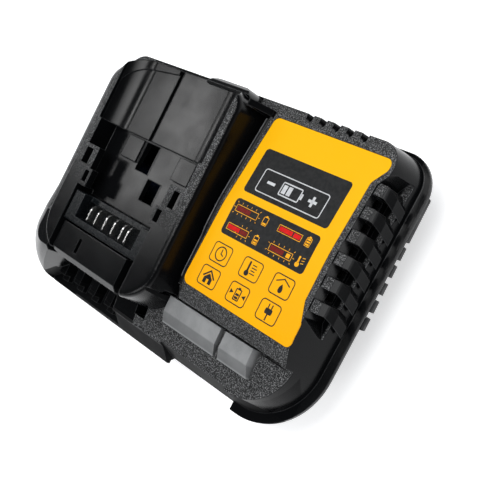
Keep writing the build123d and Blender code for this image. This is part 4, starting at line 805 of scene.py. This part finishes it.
def path_tree(name, **sizes):
    """Start of a tree: sizes in millimetres as inputs, and an even curve."""
    tree = bpy.data.node_groups.new(name, "GeometryNodeTree")
    socket = tree.interface.new_socket
    socket("Geometry", in_out="INPUT", socket_type="NodeSocketGeometry")
    for label, size in {"Spacing": 1.0, **sizes}.items():
        label = label.replace("_", " ")
        socket(label, in_out="INPUT", socket_type="NodeSocketFloat").default_value = size * mm
    socket("Geometry", in_out="OUTPUT", socket_type="NodeSocketGeometry")
    entry = add_node(tree, "NodeGroupInput")
    curve = add_node(tree, "GeometryNodeMeshToCurve", entry.outputs["Geometry"])
    even = add_node(tree, "GeometryNodeResampleCurve", mode="LENGTH")
    fill(tree, even.inputs["Curve"], curve)
    fill(tree, even.inputs["Length"], entry.outputs["Spacing"])
    return tree, entry, even


def close_tree(tree, shape, material):
    """End of a tree: the shape as a plain mesh in one material."""
    coat = add_node(tree, "GeometryNodeSetMaterial")
    coat.inputs["Material"].default_value = material
    fill(tree, coat.inputs["Geometry"], add_node(tree, "GeometryNodeRealizeInstances", shape))
    add_node(tree, "NodeGroupOutput", coat)
    return tree


def bead_tree(material):
    """Rounded section along a chain of edges."""
    tree, entry, even = path_tree("bead_along_edges", Width=1.0, Height=1.0, Corner=0.3)
    section = add_node(tree, "GeometryNodeCurvePrimitiveQuadrilateral")
    for label in ("Width", "Height"):
        fill(tree, section.inputs[label], entry.outputs[label])
    corner = add_node(tree, "GeometryNodeFilletCurve", mode="POLY")
    corner.inputs["Count"].default_value = corner_points
    fill(tree, corner.inputs["Curve"], section)
    fill(tree, corner.inputs["Radius"], entry.outputs["Corner"])
    sweep = add_node(tree, "GeometryNodeCurveToMesh")
    sweep.inputs["Fill Caps"].default_value = True
    fill(tree, sweep.inputs["Curve"], even)
    fill(tree, sweep.inputs["Profile Curve"], corner)
    return close_tree(tree, sweep, material)


def tick_tree(material):
    """Short strokes across a closed outline, evenly spaced along it."""
    tree, entry, even = path_tree("ticks_round_outline", Tick_Width=0.2, Tick_Length=0.8)
    tick = add_node(tree, "GeometryNodeMeshGrid")
    fill(tree, tick.inputs["Size X"], entry.outputs["Tick Width"])
    fill(tree, tick.inputs["Size Y"], entry.outputs["Tick Length"])
    for label in ("Vertices X", "Vertices Y"):
        tick.inputs[label].default_value = 2
    turn = add_node(tree, "FunctionNodeAlignRotationToVector", axis="X")
    fill(tree, turn.inputs["Vector"], add_node(tree, "GeometryNodeInputTangent"))
    spread = add_node(tree, "GeometryNodeInstanceOnPoints")
    fill(tree, spread.inputs["Points"], even)
    fill(tree, spread.inputs["Instance"], tick.outputs["Mesh"])
    fill(tree, spread.inputs["Rotation"], turn)
    return close_tree(tree, spread, material)


def chain(*loops, closed=False):
    """Mesh of edges through one or more rows of points in millimetres."""
    points, edges = [], []
    for loop in loops:
        start, count = len(points), len(loop)
        points += [Vector(p) * mm for p in loop]
        last = count if closed else count - 1
        edges += [(start + i, start + (i + 1) % count) for i in range(last)]
    mesh = bpy.data.meshes.new("chain")
    mesh.from_pydata(points, edges, [])
    return mesh


def grown(name, base, tree, slot, **sizes):
    """Run a tree on a base mesh and keep the result as a plain mesh."""
    source = placed(name + "_base", base)
    modifier = source.modifiers.new("grow", "NODES")
    modifier.node_group = tree
    sockets = {s.name: s.identifier for s in tree.interface.items_tree if s.in_out == "INPUT"}
    for label, size in sizes.items():
        modifier[sockets[label.replace("_", " ")]] = size * mm
    evaluated = source.evaluated_get(bpy.context.evaluated_depsgraph_get())
    mesh = bpy.data.meshes.new_from_object(evaluated)
    bpy.data.objects.remove(source)
    bm = copy_of(mesh)
    bmesh.ops.remove_doubles(bm, verts=bm.verts, dist=grown_weld * mm)
    bmesh.ops.recalc_face_normals(bm, faces=bm.faces)
    bm.to_mesh(mesh)
    bm.free()
    mesh.name = name
    piece = placed(name, mesh)
    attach(piece, "root")
    print(name, len(mesh.polygons), "faces")
    return piece


# %% The bead beside the valley
roof_surface = surface_of(copy_of(nodes["top_housing"].data))
valley_edge = 16.3
panel_edge = valley_edge + 0.4
bead_width, bead_height = 1.9, 1.4
bead_rise = 0.35
panel_y = range(48, -27, -3)
roof = [height_on(roof_surface, panel_edge * mm, y * mm) / mm for y in panel_y]

# its edges get a painted highlight
edge_black = moulded(
    "edge_black",
    (0.004, 0.0042, 0.0046),
    (0.007, 0.0072, 0.0078),
    rough=0.3,
    painted_edge_highlight=(0.4, 0.4, 0.4),
    radius=0.35,
)
beads = bead_tree(edge_black.material)
bead_x = valley_edge - bead_width / 2
path = [(bead_x, y, top + bead_rise - bead_height / 2) for y, top in zip(panel_y, roof)]
bead = dict(Width=bead_width, Height=bead_height, Corner=0.3, Spacing=1.5)
grown("panel_bead", chain(path), beads, "housing_black", **bead)

# %% The curved end of the valley
end_line = [(15.4, -24.5), (15.0, -26.6), (13.9, -28.3), (12.2, -29.4), (10.2, -29.9)]
end_top = (38.9, 37.6, 35.6, 34.0, 33.2)
end_height = 2.2
path = [(x, y, top - end_height / 2) for (x, y), top in zip(end_line, end_top)]
bead = dict(Width=1.3, Height=end_height, Corner=0.35, Spacing=0.6)
grown("valley_end_bead", chain(path), beads, "housing_black", **bead)

# %% The crest of the bead, a painted highlight
crest_size = 0.5
crest_x = valley_edge - bead_width + 0.3
crest_drop = 0.1
# painted highlight: the crest is light grey on the black bead
crest_light, crest_dark = (0.13, 0.131, 0.134), (0.07, 0.071, 0.073)
crest_highlight_paint = moulded("crest_highlight_paint", crest_dark, crest_light, 0.28, radius=0.1)
crests = bead_tree(crest_highlight_paint.material)
path = [(crest_x, y, top + bead_rise - crest_drop) for y, top in zip(panel_y, roof)][:-1]
bead = dict(Width=crest_size, Height=crest_size, Corner=0.15, Spacing=1.5)
grown("panel_crest", chain(path), crests, "housing_black", **bead)

# %% [markdown]
# ## The strip beside the light pipes
#
# The textured strip in front runs on to the foot of the bay's right arm.  It is
# a thin plate there, whose top follows the slope of the strip on either side, so
# it is a grid of points with a height from that slope and a second grid below.

# %% The strip plate
strip_foot_y, strip_foot_z = -49.0, 29.8
strip_head_y, strip_head_z = -30.4, 32.6
strip_slope = (strip_head_z - strip_foot_z) / (strip_head_y - strip_foot_y)
strip_sink = 0.04
plate_left, plate_right = -2.35, 8.6
plate_front, plate_back = -45.2, -30.7
plate_thick = 1.4
across, along = 8, 10

bm = bmesh.new()
layers = []
for drop in (strip_sink, strip_sink + plate_thick):
    layer = []
    for j in range(along + 1):
        y = plate_front + (plate_back - plate_front) * j / along
        z = strip_foot_z + (y - strip_foot_y) * strip_slope - drop
        for i in range(across + 1):
            x = plate_left + (plate_right - plate_left) * i / across
            layer.append(bm.verts.new((x * mm, y * mm, z * mm)))
    layers.append(layer)
top, bottom = layers
row = across + 1
for layer in layers:
    for j in range(along):
        for a in range(j * row, j * row + across):
            bm.faces.new([layer[a], layer[a + 1], layer[a + 1 + row], layer[a + row]])
rim = list(range(row)) + [j * row + across for j in range(1, along + 1)]
rim += [along * row + i for i in range(across - 1, -1, -1)]
rim += [j * row for j in range(along - 1, 0, -1)]
for a, b in zip(rim, rim[1:] + rim[:1]):
    bm.faces.new([top[a], top[b], bottom[b], bottom[a]])
bmesh.ops.recalc_face_normals(bm, faces=bm.faces)
paint(piece_of("strip_plate", bm), housing_black)

# %% [markdown]
# ## Flash marks
#
# Small ticks round two of the printed bars, and round the end of a third, say
# that the lamp flashes.  They repeat round a rectangle, so a tree spreads them
# along its outline and turns each to point outwards.

# %% Ticks round the bars
tick_gap = 1.15
flashing = ((24.5, 11.1, 35.4, 13.2), (30.6, 3.5, 35.2, 5.6), (47.2, 3.6, 57.8, 5.8))
outlines = []
for left, low, right, high in flashing:
    outer = (left - tick_gap, low - tick_gap, right + tick_gap, high + tick_gap)
    outlines.append([(x, y, 0) for x, y in slab(*outer, 0.6, 2)])
rings = chain(*outlines, closed=True)
tick = dict(Spacing=2.6, Tick_Width=0.22, Tick_Length=0.7)
ticks = grown("label_tick_print", rings, tick_tree(amber_ink.material), "label_yellow", **tick)
bm = copy_of(ticks.data)
lay_on_label(bm, lamp_lift)
face_up(bm)
bm.to_mesh(ticks.data)
bm.free()

# %% [markdown]
# ## Floor
#
# The floor is matt and light.  It also glows for the rays that meet the
# backdrop, so it looks white and still keeps the charger's shadow.

# %% The floor
floor_half = 2500
floor_drop = 0.05
floor_tone = (0.82, 0.82, 0.82)
floor_glow = 0.55

bm = bmesh.new()
bmesh.ops.create_grid(bm, x_segments=1, y_segments=1, size=floor_half * mm)
bmesh.ops.translate(bm, verts=bm.verts, vec=(0, 0, -floor_drop * mm))
floor_mesh = bpy.data.meshes.new("floor")
bm.to_mesh(floor_mesh)
bm.free()
floor = placed("floor", floor_mesh)
floor_paint = bpy.data.materials.new("floor_paint")
tree = emptied(floor_paint)
matt = add_node(tree, "ShaderNodeBsdfDiffuse", floor_tone)
strength = add_node(tree, "ShaderNodeMath", seen_directly(tree), floor_glow, operation="MULTIPLY")
glow = add_node(tree, "ShaderNodeEmission", None, strength)
both = add_node(tree, "ShaderNodeAddShader", matt, glow)
add_node(tree, "ShaderNodeOutputMaterial", both)
floor.data.materials.append(floor_paint)
